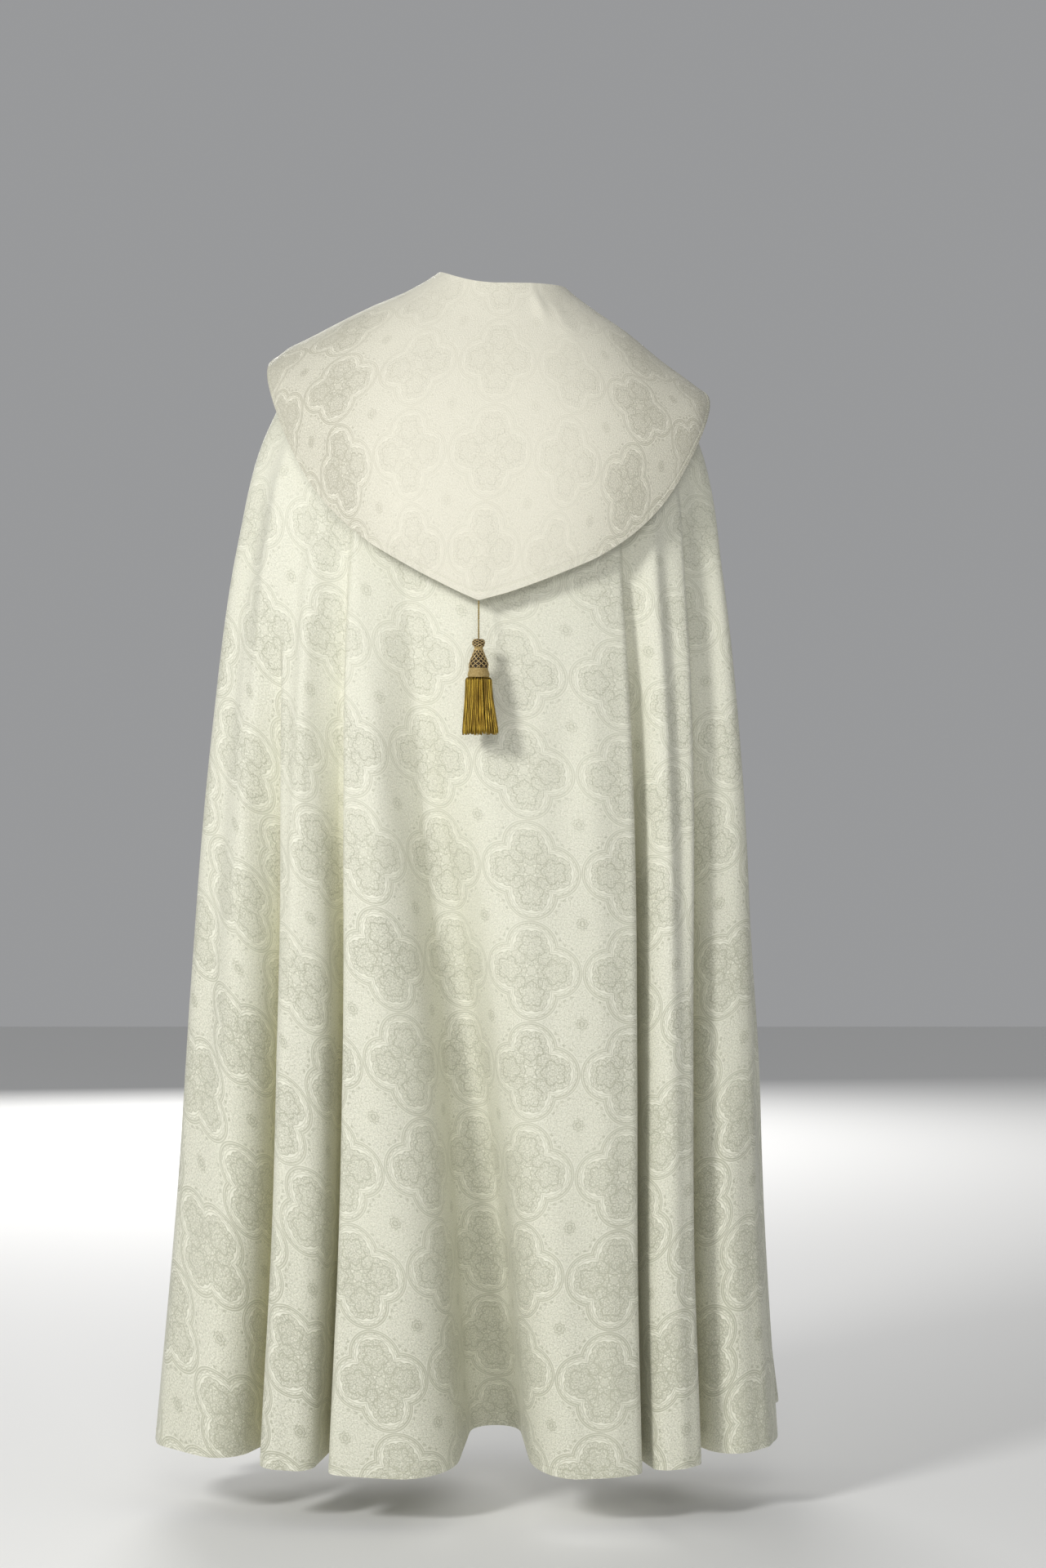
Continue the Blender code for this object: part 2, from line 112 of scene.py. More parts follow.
# The large pleats, at angles in degrees from the middle of the back, positive to the wearer's left, at
# chest, knee and hem. A pleat starts at a distance down the cloth and has its full depth at the hem. A
# negative depth is a flute that stands out. Its flanks have shares of their widths at the top. Rise is
# how far the hem is drawn up. Valleys and crests are arcs whose radius is a share of the width. A pleat
# with a left flank of BROAD or more gets none of the painted light put deep in narrow pleats.
Fold = namedtuple("Fold", "name chest knee hem start depth left right top_left top_right power rise")
Stop = namedtuple("Stop", "down angle")
CHEST_DOWN, KNEE_DOWN = 0.35, 0.86
RISE_POWER = 4
VALLEY_ROUNDNESS, CREST_ROUNDNESS = 0.24, 0.68
BROAD = 0.10
FOLDS = (
    Fold("middle", 21.5, 8.5, 1.0, 0.30, 0.185, 0.112, 0.124, 0.55, 0.55, 1.15, 0.036),
    Fold("back_left", 36, 30.3, 28.7, 0.20, 0.190, 0.040, 0.024, 1.60, 0.60, 1.6, 0.022),
    Fold("side_left", 57, 47, 43.5, 0.46, 0.165, 0.080, 0.026, 0.80, 0.60, 1.15, 0.012),
    Fold("back_right", -32, -31, -29.5, 0.20, 0.190, 0.020, 0.032, 0.60, 1.50, 1.4, 0.010),
    Fold("side_right", -56, -49, -46, 0.24, 0.150, 0.022, 0.080, 0.60, 0.80, 1.2, 0.012),
    Fold("arm_left", 98, 102, 104, 0.45, 0.060, 0.050, 0.050, 0.55, 0.55, 1.2, 0.006),
    Fold("front_left", 128, 122, 120, 0.30, 0.120, 0.040, 0.040, 0.55, 0.55, 1.1, 0.010),
    Fold("breast_left", 150, 142, 138, 0.34, 0.120, 0.036, 0.036, 0.55, 0.55, 1.1, 0.012),
    Fold("arm_right", -98, -100, -102, 0.45, 0.060, 0.050, 0.050, 0.55, 0.55, 1.2, 0.006),
    Fold("flare_right", -112, -116, -119, 0.80, -0.060, 0.060, 0.060, 0.55, 0.55, 1.0, 0.010),
    Fold("front_right", -130, -136, -138, 0.30, 0.130, 0.040, 0.036, 0.55, 0.55, 1.1, 0.010),
    Fold("breast_right", -152, -154, -156, 0.36, 0.090, 0.030, 0.026, 0.55, 0.55, 1.1, 0.008),
)

# Small soft creases that only the cloth itself has: angles at their top and bottom, where they start
# and end down the cloth, how deep (a negative one is a ridge) and half how wide. They grow and fade
# over lengths of cloth.
Crease = namedtuple("Crease", "top bottom start end depth width")
CREASE_GROWS, CREASE_FADES = 0.18, 0.25
CREASES = [Crease(*row) for row in (
    (62, 56, 0.20, 0.95, -0.0060, 0.013),
    (52, 42, 0.24, 1.05, 0.0060, 0.017),
    (44, 38, 0.26, 1.48, -0.0050, 0.013),
    (72, 66, 0.26, 1.20, 0.0055, 0.018),
    (80, 75, 0.22, 1.48, -0.0050, 0.020),
    (24, 20, 0.38, 1.30, -0.0040, 0.020),
    (11, 9, 0.40, 0.95, -0.0030, 0.022),
    (-6, -14, 0.40, 1.10, -0.0035, 0.028),
    (-19, -22, 0.42, 1.48, -0.0045, 0.022),
    (-12, -8, 0.50, 1.20, 0.0035, 0.020),
    (-40, -38, 0.24, 1.48, -0.0050, 0.013),
    (-46, -42, 0.30, 1.00, 0.0045, 0.012),
    (-64, -60, 0.24, 1.20, 0.0050, 0.014),
    (-72, -70, 0.22, 1.48, -0.0045, 0.016),
    (-82, -80, 0.24, 1.30, 0.0050, 0.018),
    (96, 92, 0.18, 1.10, 0.0060, 0.022),
    (110, 112, 0.20, 1.48, -0.0060, 0.020),
    (136, 131, 0.16, 1.10, 0.0050, 0.016),
    (160, 152, 0.14, 1.30, 0.0055, 0.020),
    (-90, -90, 0.18, 1.10, 0.0060, 0.022),
    (-118, -122, 0.18, 1.48, -0.0055, 0.020),
    (-142, -147, 0.16, 1.20, 0.0055, 0.018),
    (-160, -164, 0.14, 1.30, 0.0050, 0.018),
)]

# Half the gap between the front edges, and the side seams' share of the way round to those edges
Gap = namedtuple("Gap", "down half")
FRONT_GAP = (Gap(0.0, 0.034), Gap(0.20, 0.030), Gap(0.70, 0.044), Gap(1.48, 0.074))
SEAM_SHARE = 0.53

# The cloak's panels as shares of the way round, with their columns and their part of the cut
Panel = namedtuple("Panel", "name node low high columns flat area")
PANELS = (
    Panel("back_cloth", "cloak_back", -SEAM_SHARE, SEAM_SHARE, 470, (2.38, 1.47), 2.11),
    Panel("right_front_cloth", "cloak_front_right", -1.0, -SEAM_SHARE, 250, (1.24, 1.47), 0.93),
    Panel("left_front_cloth", "cloak_front_left", SEAM_SHARE, 1.0, 240, (1.24, 1.47), 0.93),
)

# Rows of the cloak down the cloth: over the shoulders, down the fall and at the hem. Its columns lie
# closer where some of the rows turn: a radian counts as TURN_WEIGHT metres more of cloth.
CLOAK_DOWNS = np.concatenate([np.linspace(0, 0.30, 14), np.linspace(0.32, HEM_DOWN - 0.014, 62),
                              HEM_DOWN - np.array([0.0096, 0.0088, 0.004, 0.0012, 0.0])])
SPREAD_ROWS = slice(-40, None, 8)
SPREAD_STEPS, TURN_WEIGHT = 6001, 0.020
LEAD_STEPS = 1500

# The hood hangs on rings of its own, leans HOOD_LEAN degrees to the wearer's left at its point, is sewn
# on down to HOOD_SEWN, and ends at its edge, which is given by angle from its middle.
HOOD_RINGS = (
    Ring(0.00, 0.0796, 0.0798, 0.0685, 0.0644, 0.0222, 0.0021, 0.0012, -0.0735),
    Ring(0.05, 0.1200, 0.1150, 0.0920, 0.0915, -0.0015, -0.0250, -0.0420, -0.1150),
    Ring(0.10, 0.1650, 0.1540, 0.1170, 0.1170, -0.0210, -0.0520, -0.0860, -0.1570),
    Ring(0.16, 0.2210, 0.1980, 0.1420, 0.1400, -0.0490, -0.0880, -0.1410, -0.2120),
    Ring(0.22, 0.2730, 0.2400, 0.1610, 0.1590, -0.0780, -0.1190, -0.1990, -0.2680),
    Ring(0.26, 0.2990, 0.2650, 0.1710, 0.1700, -0.0980, -0.1400, -0.2390, -0.3060),
    Ring(0.30, 0.3090, 0.2750, 0.1780, 0.1800, -0.1300, -0.1730, -0.2790, -0.3440),
    Ring(0.42, 0.3220, 0.2880, 0.1870, 0.1990, -0.2450, -0.2880, -0.3990, -0.4500),
)
HOOD_LEAN = 4.0
HOOD_WALL = 0.0022
HOOD_SEAT = 0.0008
HOOD_SEWN = 0.045
Reach = namedtuple("Reach", "angle down")
HOOD_EDGE = (
    Reach(0, 0.418), Reach(8, 0.402), Reach(16, 0.390), Reach(28, 0.377), Reach(43, 0.352),
    Reach(60, 0.302), Reach(78, 0.256), Reach(92, 0.232), Reach(112, 0.180), Reach(134, 0.105),
    Reach(150, 0.020),
)
HOOD_COLUMNS = 321
HOOD_FALLS = np.concatenate([np.linspace(0, 0.965, 100), [0.974, 0.978, 0.99, 0.997, 1.0]])
EDGE_SLANT = 0.9

# Soft dents of the hood: where they lie and how far they reach, in degrees and shares of the fall, and
# how high they stand
Dent = namedtuple("Dent", "angle fall wide long height")
HOOD_DENTS = [Dent(*row) for row in (
    (0, 0.86, 3.0, 0.16, 0.0016),
    (-24, 0.10, 5.0, 0.07, 0.0030),
    (-34, 0.16, 6.0, 0.10, 0.0018),
    (78, 0.86, 10.0, 0.07, 0.0022),
    (58, 0.95, 10.0, 0.09, 0.0016),
    (-62, 0.92, 9.0, 0.10, 0.0020),
    (24, 0.55, 16.0, 0.25, 0.0014),
    (-20, 0.70, 14.0, 0.22, 0.0012),
)]

# The morse: where it spans down the cloth, how far it reaches to each side, its wall, the round of its
# rim, its soft swell, and how far in its stitches run
MORSE_DOWN = (0.110, 0.170)
MORSE_REACH = 0.088
MORSE_WALL = 0.0030
MORSE_ROUND, MORSE_ROUNDING = 0.0022, 0.8
MORSE_SWELL, MORSE_SWELL_WIDTH = 0.0009, 0.012
MORSE_STITCH_IN = 0.006
MORSE_FROM_SHARE, MORSE_STEPS = 0.80, 400
MORSE_ROWS, MORSE_SIDE_COLUMNS, MORSE_BRIDGE_COLUMNS = 33, 20, 26

# A thread is narrower over a share of its path at each end, and is steep where it runs nearly upright
TAPERED, STEEP = 0.06, 0.9

# A stitch: places along it and how far it stands out at them, in its own length and radius
STITCH_PITCH, STITCH_LENGTH, STITCH_RADIUS = 0.0046, 0.0034, 0.00030
STITCH_PLACES, STITCH_LIFTS = np.array([0.0, 0.3, 0.7, 1.0]), np.array([-0.3, 0.6, 0.6, -0.3])
STITCH_SIDES, STITCH_TAPER = 4, 0.6
CLEAR_OF_ENDS, HOOD_INNER, MORSE_INNER = slice(2, -5), slice(6, -6), slice(3, -3)

# The tassel's head: height below its top and radius
Turn = namedtuple("Turn", "down radius")
TASSEL_HEAD = (
    Turn(0.0000, 0.0016), Turn(0.0006, 0.0040), Turn(0.0020, 0.0060), Turn(0.0050, 0.0070),
    Turn(0.0080, 0.0062), Turn(0.0096, 0.0048), Turn(0.0108, 0.0043), Turn(0.0140, 0.0048),
    Turn(0.0180, 0.0062), Turn(0.0230, 0.0082), Turn(0.0280, 0.0100), Turn(0.0322, 0.0109),
    Turn(0.0340, 0.0106), Turn(0.0352, 0.0106), Turn(0.0460, 0.0118), Turn(0.0475, 0.0108),
)
HEAD_ROWS, HEAD_COLUMNS = 90, 48

# What is wound on the head: nets of threads both ways round, lifted off the core, the threads up the
# neck between them, and the band
Net = namedtuple("Net", "low high count turns lift radius")
KNOB_NET = Net(0.0004, 0.0098, 7, 0.42, 0.0007, 0.00044)
BELL_NET = Net(0.0124, 0.0345, 10, 0.38, 0.0009, 0.00052)
NET_POINTS, NET_SIDES, OVER_UNDER = 42, 5, 0.25
NECK_SPAN, NECK_POINTS, NECK_THREADS = (0.0094, 0.0136), 10, 26
NECK_LIFT, NECK_THREAD = 0.00035, 0.00062
BAND_SPAN, BAND_TURNS, BAND_POINTS = (0.0352, 0.0462), 15, 40
BAND_LIFT, BAND_THREAD = 0.0004, 0.00045
WOUND_SIDES = 6

# The tassel's cord of two twisted plies, and how far out from the hood's point it hangs
TASSEL_CORD_LENGTH, TASSEL_OUT, CORD_RADIUS = 0.046, 0.009, 0.0011
PLY_COUNT, PLY_OFFSET, PLY_PITCH, PLY_RADIUS, PLY_SIDES = 2, 0.00052, 0.0046, 0.00056, 8
CORD_POINTS, CORD_ROUTE_STEP = 60, 4

# The skirt: rings of strands with their radii at the root, the bend under the band and the lower end.
# Strands vary in place round the ring, sway and length, and the skirt is a little flat.
StrandRing = namedtuple("StrandRing", "count root bend end")
STRAND_RINGS = (StrandRing(34, 0.0112, 0.0150, 0.0210), StrandRing(28, 0.0086, 0.0120, 0.0174),
                StrandRing(18, 0.0052, 0.0078, 0.0120), StrandRing(8, 0.0020, 0.0032, 0.0056))
STRAND_RADIUS, STRAND_SIDES, STRAND_TAPER, STRAND_POINTS = 0.00120, 7, 0.45, 44
STRAND_LEAN, STRAND_BEND, STRAND_SPREADS, STRAND_SPREAD_RUN = 0.10, 0.060, 0.05, 1.25
STRAND_JITTER, STRAND_SWAY, STRAND_WAVES, STRAND_SHORTER = 0.16, 0.0007, (0.8, 1.6), 0.045
SKIRT_LENGTH, SKIRT_ROOTED, SKIRT_FLATNESS = 0.0700, 0.0018, 0.93

# The damask: one repeat in metres, and the rest in shares of the repeat. A frame is made of four arcs
# round centres LOBE_OUT from the repeat's middle. What lies beside it is given by the distance outside.
REPEAT = 0.122
LOBE_OUT, LOBE_RADIUS = 0.232, 0.264
WOVEN_LINE = 0.0060
FrameLine = namedtuple("FrameLine", "at width strength")
FRAME_LINES = (FrameLine(-0.004, 1.0, 1.4), FrameLine(-0.023, 1.0, 1.4), FrameLine(-0.066, 0.8, 0.8))
FRAME_BAND = (-0.042, -0.026, 0.004)
SCALLOP_AT, SCALLOP_HEIGHT, SCALLOPS = -0.046, 0.005, 19.0
DROPS, DROP_BAND = 24.0, (0.018, 0.040, 0.006)
FLOWER_RADIUS, PETAL_REACH, PETALS = 0.156, 0.022, 5
NOTCH_REACH, NOTCHES = 0.008, 15
INNER_FLOWER, INNER_PETAL_REACH = 0.082, 0.020
HEART_RADIUS, HEART_REACH, HEART_LOBES = 0.040, 0.018, 4.0
LENS_AT, LENS_RADIUS, LENS_WITHIN = (0.115, 0.215), 0.150, 0.20
ROSETTE_RADIUS, ROSETTE_REACH, ROSETTE_LOBES, ROSETTE_EYE = 0.054, 0.007, 8.0, 0.024
LARGE_CELLS, SMALL_CELLS = 21.0, 46.0

# The damask's colours: the ground, the woven figure, the tint that wide uneven patches of the cloth
# take, and painted light between the pleats: a brighter, yellower tint put into the colour deep in
# narrow pleats, where light would bounce and shine through the cloth. Then how much of the figure shows
# near the neck, where it is faintest, and how much it fades towards the middle of the cut, where the
# figure is painted as washed out by sheen.
Damask = namedtuple("Damask", "name light figure glow deep least plain_middle")
CLOAK_LOOK = Damask("cloak_damask", (0.870, 0.862, 0.735), (0.500, 0.500, 0.385),
                    (0.835, 0.840, 0.675), (0.930, 0.895, 0.590), 0.38, 0.0)
HOOD_LOOK = Damask("hood_damask", (0.835, 0.810, 0.685), (0.530, 0.510, 0.400),
                   (0.820, 0.792, 0.655), (0.920, 0.890, 0.560), 0.95, 0.68)
SLUB_TINT, WORN_TINT = (0.90, 0.89, 0.80), (0.74, 0.72, 0.66)
SATIN = {"Sheen Weight": 0.12, "Sheen Roughness": 0.45, "Sheen Tint": (1.0, 1.0, 0.94),
         "Specular IOR Level": 0.48, "Anisotropic": 0.35}

# The cloth's noises: scales a metre of cut, and gains and offsets. Then the pitches of its threads, the
# middle where the figure is painted as washed out by sheen, wear at a hem, how deep in a pleat the
# painted light starts, the hem's line and the relief's depth.
FLECK_SCALE, PATCH_SCALE, FADE_SCALE, SLUB_SCALE = 560.0, 7.0, 4.0, 190.0
FLECK_CONTRAST, FADE_CONTRAST, SLUB_CONTRAST = (3.2, 1.15), (1.8, 0.35), (2.4, 1.15)
GLOW_CONTRAST, WORN_CONTRAST = (1.6, 0.55), (1.5, 0.35)
WEFT_PITCH, WARP_PITCH = 0.0010, 0.0008
SHEEN_WASH_HALF, SHEEN_WASH_SOFT = 0.20, 0.12
WORN_WIDTH, WORN_SOFT = 0.0016, 0.0014
SUNK_FROM, SUNK_STEEPNESS = 0.030, 11.0
HEM_LINE, RELIEF = 0.0012, 0.0006

# Metal-wrapped threads: their colours, bright and dark, the scale of their grain, and how short their
# streaks are up and down, as a share of how wide
Metal = namedtuple("Metal", "name colour dark metallic roughness scale streak", defaults=[1.0])
BULLION_LOOK = Metal("bullion", (0.66, 0.45, 0.06), (0.13, 0.075, 0.006), 0.75, 0.32, 1400.0, 0.03)
CORD_LOOK = Metal("thin_gold", (0.66, 0.52, 0.18), (0.36, 0.25, 0.07), 0.50, 0.42, 1600.0)
NET_LOOK = Metal("net_gold", (0.86, 0.70, 0.38), (0.44, 0.30, 0.12), 0.50, 0.38, 1500.0)
BAND_LOOK = Metal("band_gold", (0.66, 0.52, 0.25), (0.42, 0.30, 0.11), 0.35, 0.48, 1500.0)
# The head's core is coloured near black so that the holes of its nets read dark: painted shade.
CORE_SHADE_LOOK = Metal("core_shade_gold", (0.06, 0.035, 0.012), (0.02, 0.012, 0.005), 0.10, 0.65, 900.0)
STREAK_CONTRAST, BROADER, FINER, METAL_RELIEF = (3.8, 1.65), 0.40, 2.2, 0.00012
THREAD_DARK, THREAD_LIGHT = (0.66, 0.66, 0.52), (0.82, 0.82, 0.68)
THREAD_MOTTLE, THREAD_GRAIN = 900.0, 1500.0


def smooth(rows, column, at):
    """A column of a table as a smooth curve of its first column, through every row."""
    knots = np.array([row[0] for row in rows], float)
    values = np.array([getattr(row, column) for row in rows], float)
    slopes = np.gradient(values, knots)
    at = np.clip(np.asarray(at, float), knots[0], knots[-1])
    i = np.clip(np.searchsorted(knots, at, side="right") - 1, 0, len(knots) - 2)
    step = knots[i + 1] - knots[i]
    t = (at - knots[i]) / step
    start, end = (1 + 2 * t) * (1 - t) ** 2, t * t * (3 - 2 * t)
    leave, arrive = t * (1 - t) ** 2 * step, t * t * (t - 1) * step
    return start * values[i] + end * values[i + 1] + leave * slopes[i] + arrive * slopes[i + 1]


def unit(vectors):
    """The same directions with length 1."""
    return vectors / np.linalg.norm(vectors, axis=-1, keepdims=True)


def lengths(points):
    """Distances from the first of some points, or along every row of a grid from its first column."""
    step = np.linalg.norm(np.diff(points, axis=0), axis=-1)
    return np.concatenate([np.zeros_like(step[:1]), np.cumsum(step, axis=0)])


def ease(t):
    """A soft step from 0 to 1."""
    t = np.clip(t, 0, 1)
    return t * t * (3 - 2 * t)


def reaches(rings, angle, down):
    """The ring's reach to the side and to the back or front at an angle, and its height there."""
    to_left, to_back = np.sin(angle) >= 0, np.cos(angle) >= 0
    pick = {name: smooth(rings, name, down) for name in Ring._fields[1:]}
    wide = np.where(to_left, pick["left"], pick["right"])
    deep = np.where(to_back, pick["back"], pick["front"])
    at_side = np.where(to_left, pick["z_left"], pick["z_right"])
    at_middle = np.where(to_back, pick["z_back"], pick["z_front"])
    return wide, deep, np.sin(angle) ** 2 * at_side + np.cos(angle) ** 2 * at_middle


def form(rings, angle, down):
    """Points of the plain form, and their outward directions in plan."""
    wide, deep, height = reaches(rings, angle, down)
    side, back = np.sin(angle), np.cos(angle)
    x = wide * np.sign(side) * np.abs(side) ** PLAN_SQUARENESS
    y = deep * np.sign(back) * np.abs(back) ** PLAN_SQUARENESS
    out = unit(np.stack([side / wide, back / deep, np.zeros_like(x)], axis=-1))
    return np.stack([x, y, height], axis=-1), out


def plain(angle, down):
    """Points of the cloak's form without its pleats and creases."""
    return form(CLOAK_RINGS, angle, down)[0]


def outward(surface, first, second):
    """Unit normals of a surface at places given by its two measures."""
    nudge = 1e-4
    along = surface(first + nudge, second) - surface(first - nudge, second)
    down = surface(first, second + nudge) - surface(first, second - nudge)
    return unit(np.cross(along, down))


def faced(surface, first, second):
    """Points of a surface at a grid of its two measures, and their outward normals."""
    a, b = np.meshgrid(first, second, indexing="ij")
    return surface(a, b), outward(surface, a, b)


def fold_angle(fold, down):
    """Where a pleat lies round the form, in radians, at a distance down the cloth."""
    stops = (Stop(CHEST_DOWN, fold.chest), Stop(KNEE_DOWN, fold.knee), Stop(HEM_DOWN, fold.hem))
    return np.radians(smooth(stops, "angle", down))


def flank(off, width, depth):
    """How deep a pleat is at a distance from its middle: an arc, a straight flank and an arc."""
    low, high = VALLEY_ROUNDNESS * width, CREST_ROUNDNESS * width
    over = low + high - depth
    slope = np.arcsin((low + high) / np.hypot(width, over)) - np.arctan2(over, width)
    off = np.minimum(off, width)
    start, end = low * np.sin(slope), width - high * np.sin(slope)
    near = low - np.sqrt(np.maximum(low**2 - off**2, 0))
    far = depth - high + np.sqrt(np.maximum(high**2 - (width - off) ** 2, 0))
    straight = low * (1 - np.cos(slope)) + (off - start) * np.tan(slope)
    return depth - np.where(off < start, near, np.where(off > end, far, straight))


def around(angle, middle, down):
    """The distance along the form from a middle angle."""
    wide, deep, _ = reaches(CLOAK_RINGS, middle, down)
    return (angle - middle) * np.hypot(wide * np.cos(middle), deep * np.sin(middle))


def fold_shape(fold, angle, down):
    """How deep a pleat is at each place, the share of its depth it has grown to, and its middle."""
    grown = np.clip((down - fold.start) / (HEM_DOWN - fold.start), 0, 1)
    middle = fold_angle(fold, down)
    off = around(angle, middle, down)
    left = fold.left * (fold.top_left * (1 - grown) + grown)
    right = fold.right * (fold.top_right * (1 - grown) + grown)
    depth = abs(fold.depth) * grown**fold.power
    return flank(np.abs(off), np.where(off > 0, left, right), np.maximum(depth, 1e-9)), grown, middle


def cloak(angle, down):
    """Points of the cloak's outer face: the form, its creases and its pleats."""
    points, across = form(CLOAK_RINGS, angle, down)
    for crease in CREASES:
        fall = np.clip((down - crease.start) / (crease.end - crease.start), 0, 1)
        middle = np.radians(crease.top + (crease.bottom - crease.top) * fall)
        off = around(angle, middle, down) / crease.width
        last = 1.0 if crease.end >= HEM_DOWN else ease((crease.end - down) / CREASE_FADES)
        here = ease((down - crease.start) / CREASE_GROWS) * last * np.exp(-off * off)
        points = points - across * (crease.depth * here)[..., None]
    for fold in FOLDS:
        shape, grown, middle = fold_shape(fold, angle, down)
        _, out = form(CLOAK_RINGS, middle, down)
        points = points - out * (math.copysign(1, fold.depth) * shape)[..., None]
        points[..., 2] += fold.rise * grown**RISE_POWER * shape / abs(fold.depth)
    return points


def edge_angle(down):
    """The angle of a front edge, which lies half the gap from the middle of the front."""
    half = smooth(FRONT_GAP, "half", down)
    narrow = np.minimum(smooth(CLOAK_RINGS, "left", down), smooth(CLOAK_RINGS, "right", down))
    return math.pi - np.arcsin((half / narrow) ** (1 / PLAN_SQUARENESS))


def angle_at(share, down):
    """The angle of shares from -1, the right front edge, to 1, the left one, following the folds."""
    edge, hem_edge = edge_angle(down), edge_angle(HEM_DOWN)
    order = sorted(FOLDS, key=lambda fold: fold.hem)
    homes = [-1.0, *(math.radians(fold.hem) / hem_edge for fold in order), 1.0]
    places = [-edge, *(fold_angle(fold, down) for fold in order), edge]
    angle = places[0]
    for low, high, start, end in zip(homes, homes[1:], places, places[1:]):
        angle = angle + np.clip((share - low) / (high - low), 0, 1) * (end - start)
    return angle


def cloak_at(share, down):
    """The cloak at a share and a distance down."""
    return cloak(angle_at(share, down), down)


def spread_shares(low, high, count, downs):
    """Column places between two shares, closer together where the folds turn sharply."""
    fine = np.linspace(low, high, SPREAD_STEPS)
    need = np.zeros(len(fine))
    for down in downs:
        line = cloak_at(fine, np.full(len(fine), down))
        step = np.diff(line, axis=0)
        length = np.linalg.norm(step, axis=1)
        heading = np.unwrap(np.arctan2(step[:, 1], step[:, 0]))
        need[1:] = np.maximum(need[1:], length + TURN_WEIGHT * np.abs(np.gradient(heading)))
    travelled = np.cumsum(need)
    return np.interp(np.linspace(travelled[0], travelled[-1], count), travelled, fine)


def hood_at(share, fall):
    """The hood's outer face, across from end to end and down from its neck seam to its edge."""
    degrees = share * HOOD_EDGE[-1].angle
    down = smooth(HOOD_EDGE, "down", np.abs(degrees)) * fall
    lean = HOOD_LEAN * (down / HOOD_EDGE[0].down) * np.cos(np.radians(degrees)).clip(0, 1)
    angle = np.radians(degrees + lean)
    free = ease(down / HOOD_SEWN)[..., None]
    sewn = plain(angle, down) + outward(plain, angle, down) * (HOOD_WALL + HOOD_SEAT)
    return sewn * (1 - free) + form(HOOD_RINGS, angle, down)[0] * free


def new_object(name, data, material=None):
    """An object of the scene."""
    made = bpy.data.objects.new(name, data)
    bpy.context.scene.collection.objects.link(made)
    if material:
        data.materials.append(material)
    return made


def new_mesh(name, points, faces, material):
    """A mesh object, shaded smooth up to its sharp edges."""
    mesh = bpy.data.meshes.new(name)
    mesh.from_pydata(points, [], faces)
    mesh.shade_smooth()
    mesh.set_sharp_from_angle(angle=math.radians(SHARP_DEGREES))
    return new_object(name, mesh, material)


def shell(name, outer, facing, thickness, cut, edges, material):
    """A thin closed sheet from a grid. cut holds each point's place on the flat cloth, and edges how
    far it is from the nearest hemmed edge and how deep it lies in a pleat."""
    across, deep = outer.shape[:2]
    inner = outer - facing * (thickness + HEM_TURNED * (edges[..., :1] < HEM_WIDTH))
    count = across * deep
    number = np.arange(count).reshape(across, deep)
    a, b, c, d = (number[:-1, :-1], number[1:, :-1], number[1:, 1:], number[:-1, 1:])
    front = np.stack([a, b, c, d], axis=-1).reshape(-1, 4)
    back = np.stack([a, d, c, b], axis=-1).reshape(-1, 4) + count
    border = np.array([*number[:, 0], *number[-1, 1:], *number[-2::-1, -1], *number[0, -2:0:-1]])
    after = np.roll(border, -1)
    rim = np.stack([border, border + count, after + count, after], axis=-1)
    faces = np.concatenate([front, back, rim])
    made = new_mesh(name, np.concatenate([outer.reshape(-1, 3), inner.reshape(-1, 3)]), faces, material)
    corners = faces.ravel() % count
    for layer, values in (("cut", cut.reshape(-1, 2)), ("edge", edges.reshape(-1, 2))):
        made.data.uv_layers.new(name=layer).data.foreach_set("uv", values[corners].ravel())
    return made


def on_cut(radius, turn):
    """Places on a flat round cut, at radii and angles from its middle line."""
    return np.stack([radius * np.sin(turn), -radius * np.cos(turn)], axis=-1)


class Sum:
    """A number field in a shader's nodes, built up with ordinary arithmetic."""

    def __init__(self, tree, value):
        self.tree, self.value = tree, value

    def math(self, operation, *others, clamp=False):
        """One of Blender's sums with this field and other fields or numbers."""
        node = self.tree.nodes.new("ShaderNodeMath")
        node.operation, node.use_clamp = operation, clamp
        for socket, item in zip(node.inputs, (self, *others)):
            item = item.value if isinstance(item, Sum) else item
            if isinstance(item, (int, float)):
                socket.default_value = item
            else:
                self.tree.links.new(item, socket)
        return Sum(self.tree, node.outputs[0])

    def __add__(self, other): return self.math("ADD", other)
    def __sub__(self, other): return self.math("SUBTRACT", other)
    def __mul__(self, other): return self.math("MULTIPLY", other)
    def __rsub__(self, other): return Sum(self.tree, other).math("SUBTRACT", self)
    def __abs__(self): return self.math("ABSOLUTE")
    def least(self, other): return self.math("MINIMUM", other)
    def most(self, other): return self.math("MAXIMUM", other)
    def clamped(self): return self.math("ADD", 0.0, clamp=True)

    def contrast(self, gain, offset):
        """The field times a gain and less an offset, kept from 0 to 1."""
        return (self * gain - offset).clamped()

    def below(self, limit, soft):
        """1 where the field is under the limit, 0 above it, with a soft step between."""
        return ((limit - self) * (1 / soft) + 0.5).clamped()

    def line(self, at, half):
        """1 on the line where the field has a value, 0 beyond its half width."""
        return abs(self - at).below(half, half)

    def band(self, low, high, soft):
        """1 between two values, 0 outside them, with soft steps."""
        return self.below(high, soft) * (1.0 - self.below(low, soft))

    def distance(self, other, x, y):
        """The distance of the point (self, other) from (x, y)."""
        a, b = self - x, other - y
        return (a * a + b * b).math("SQRT")


def put(node, values):
    """Sets a node's sockets, by name, to numbers and colours, or links fields and sockets to them."""
    for name, item in values.items():
        socket = node.inputs[name]
        item = item.value if isinstance(item, Sum) else item
        if isinstance(item, bpy.types.NodeSocket):
            node.id_data.links.new(item, socket)
        else:
            socket.default_value = (*item, 1.0) if socket.type == "RGBA" else item


def noise(tree, vector, scale, detail=2.0):
    """A field of noise from 0 to 1."""
    node = tree.nodes.new("ShaderNodeTexNoise")
    put(node, {"Scale": scale, "Detail": detail, "Vector": vector})
    return Sum(tree, node.outputs["Fac"])


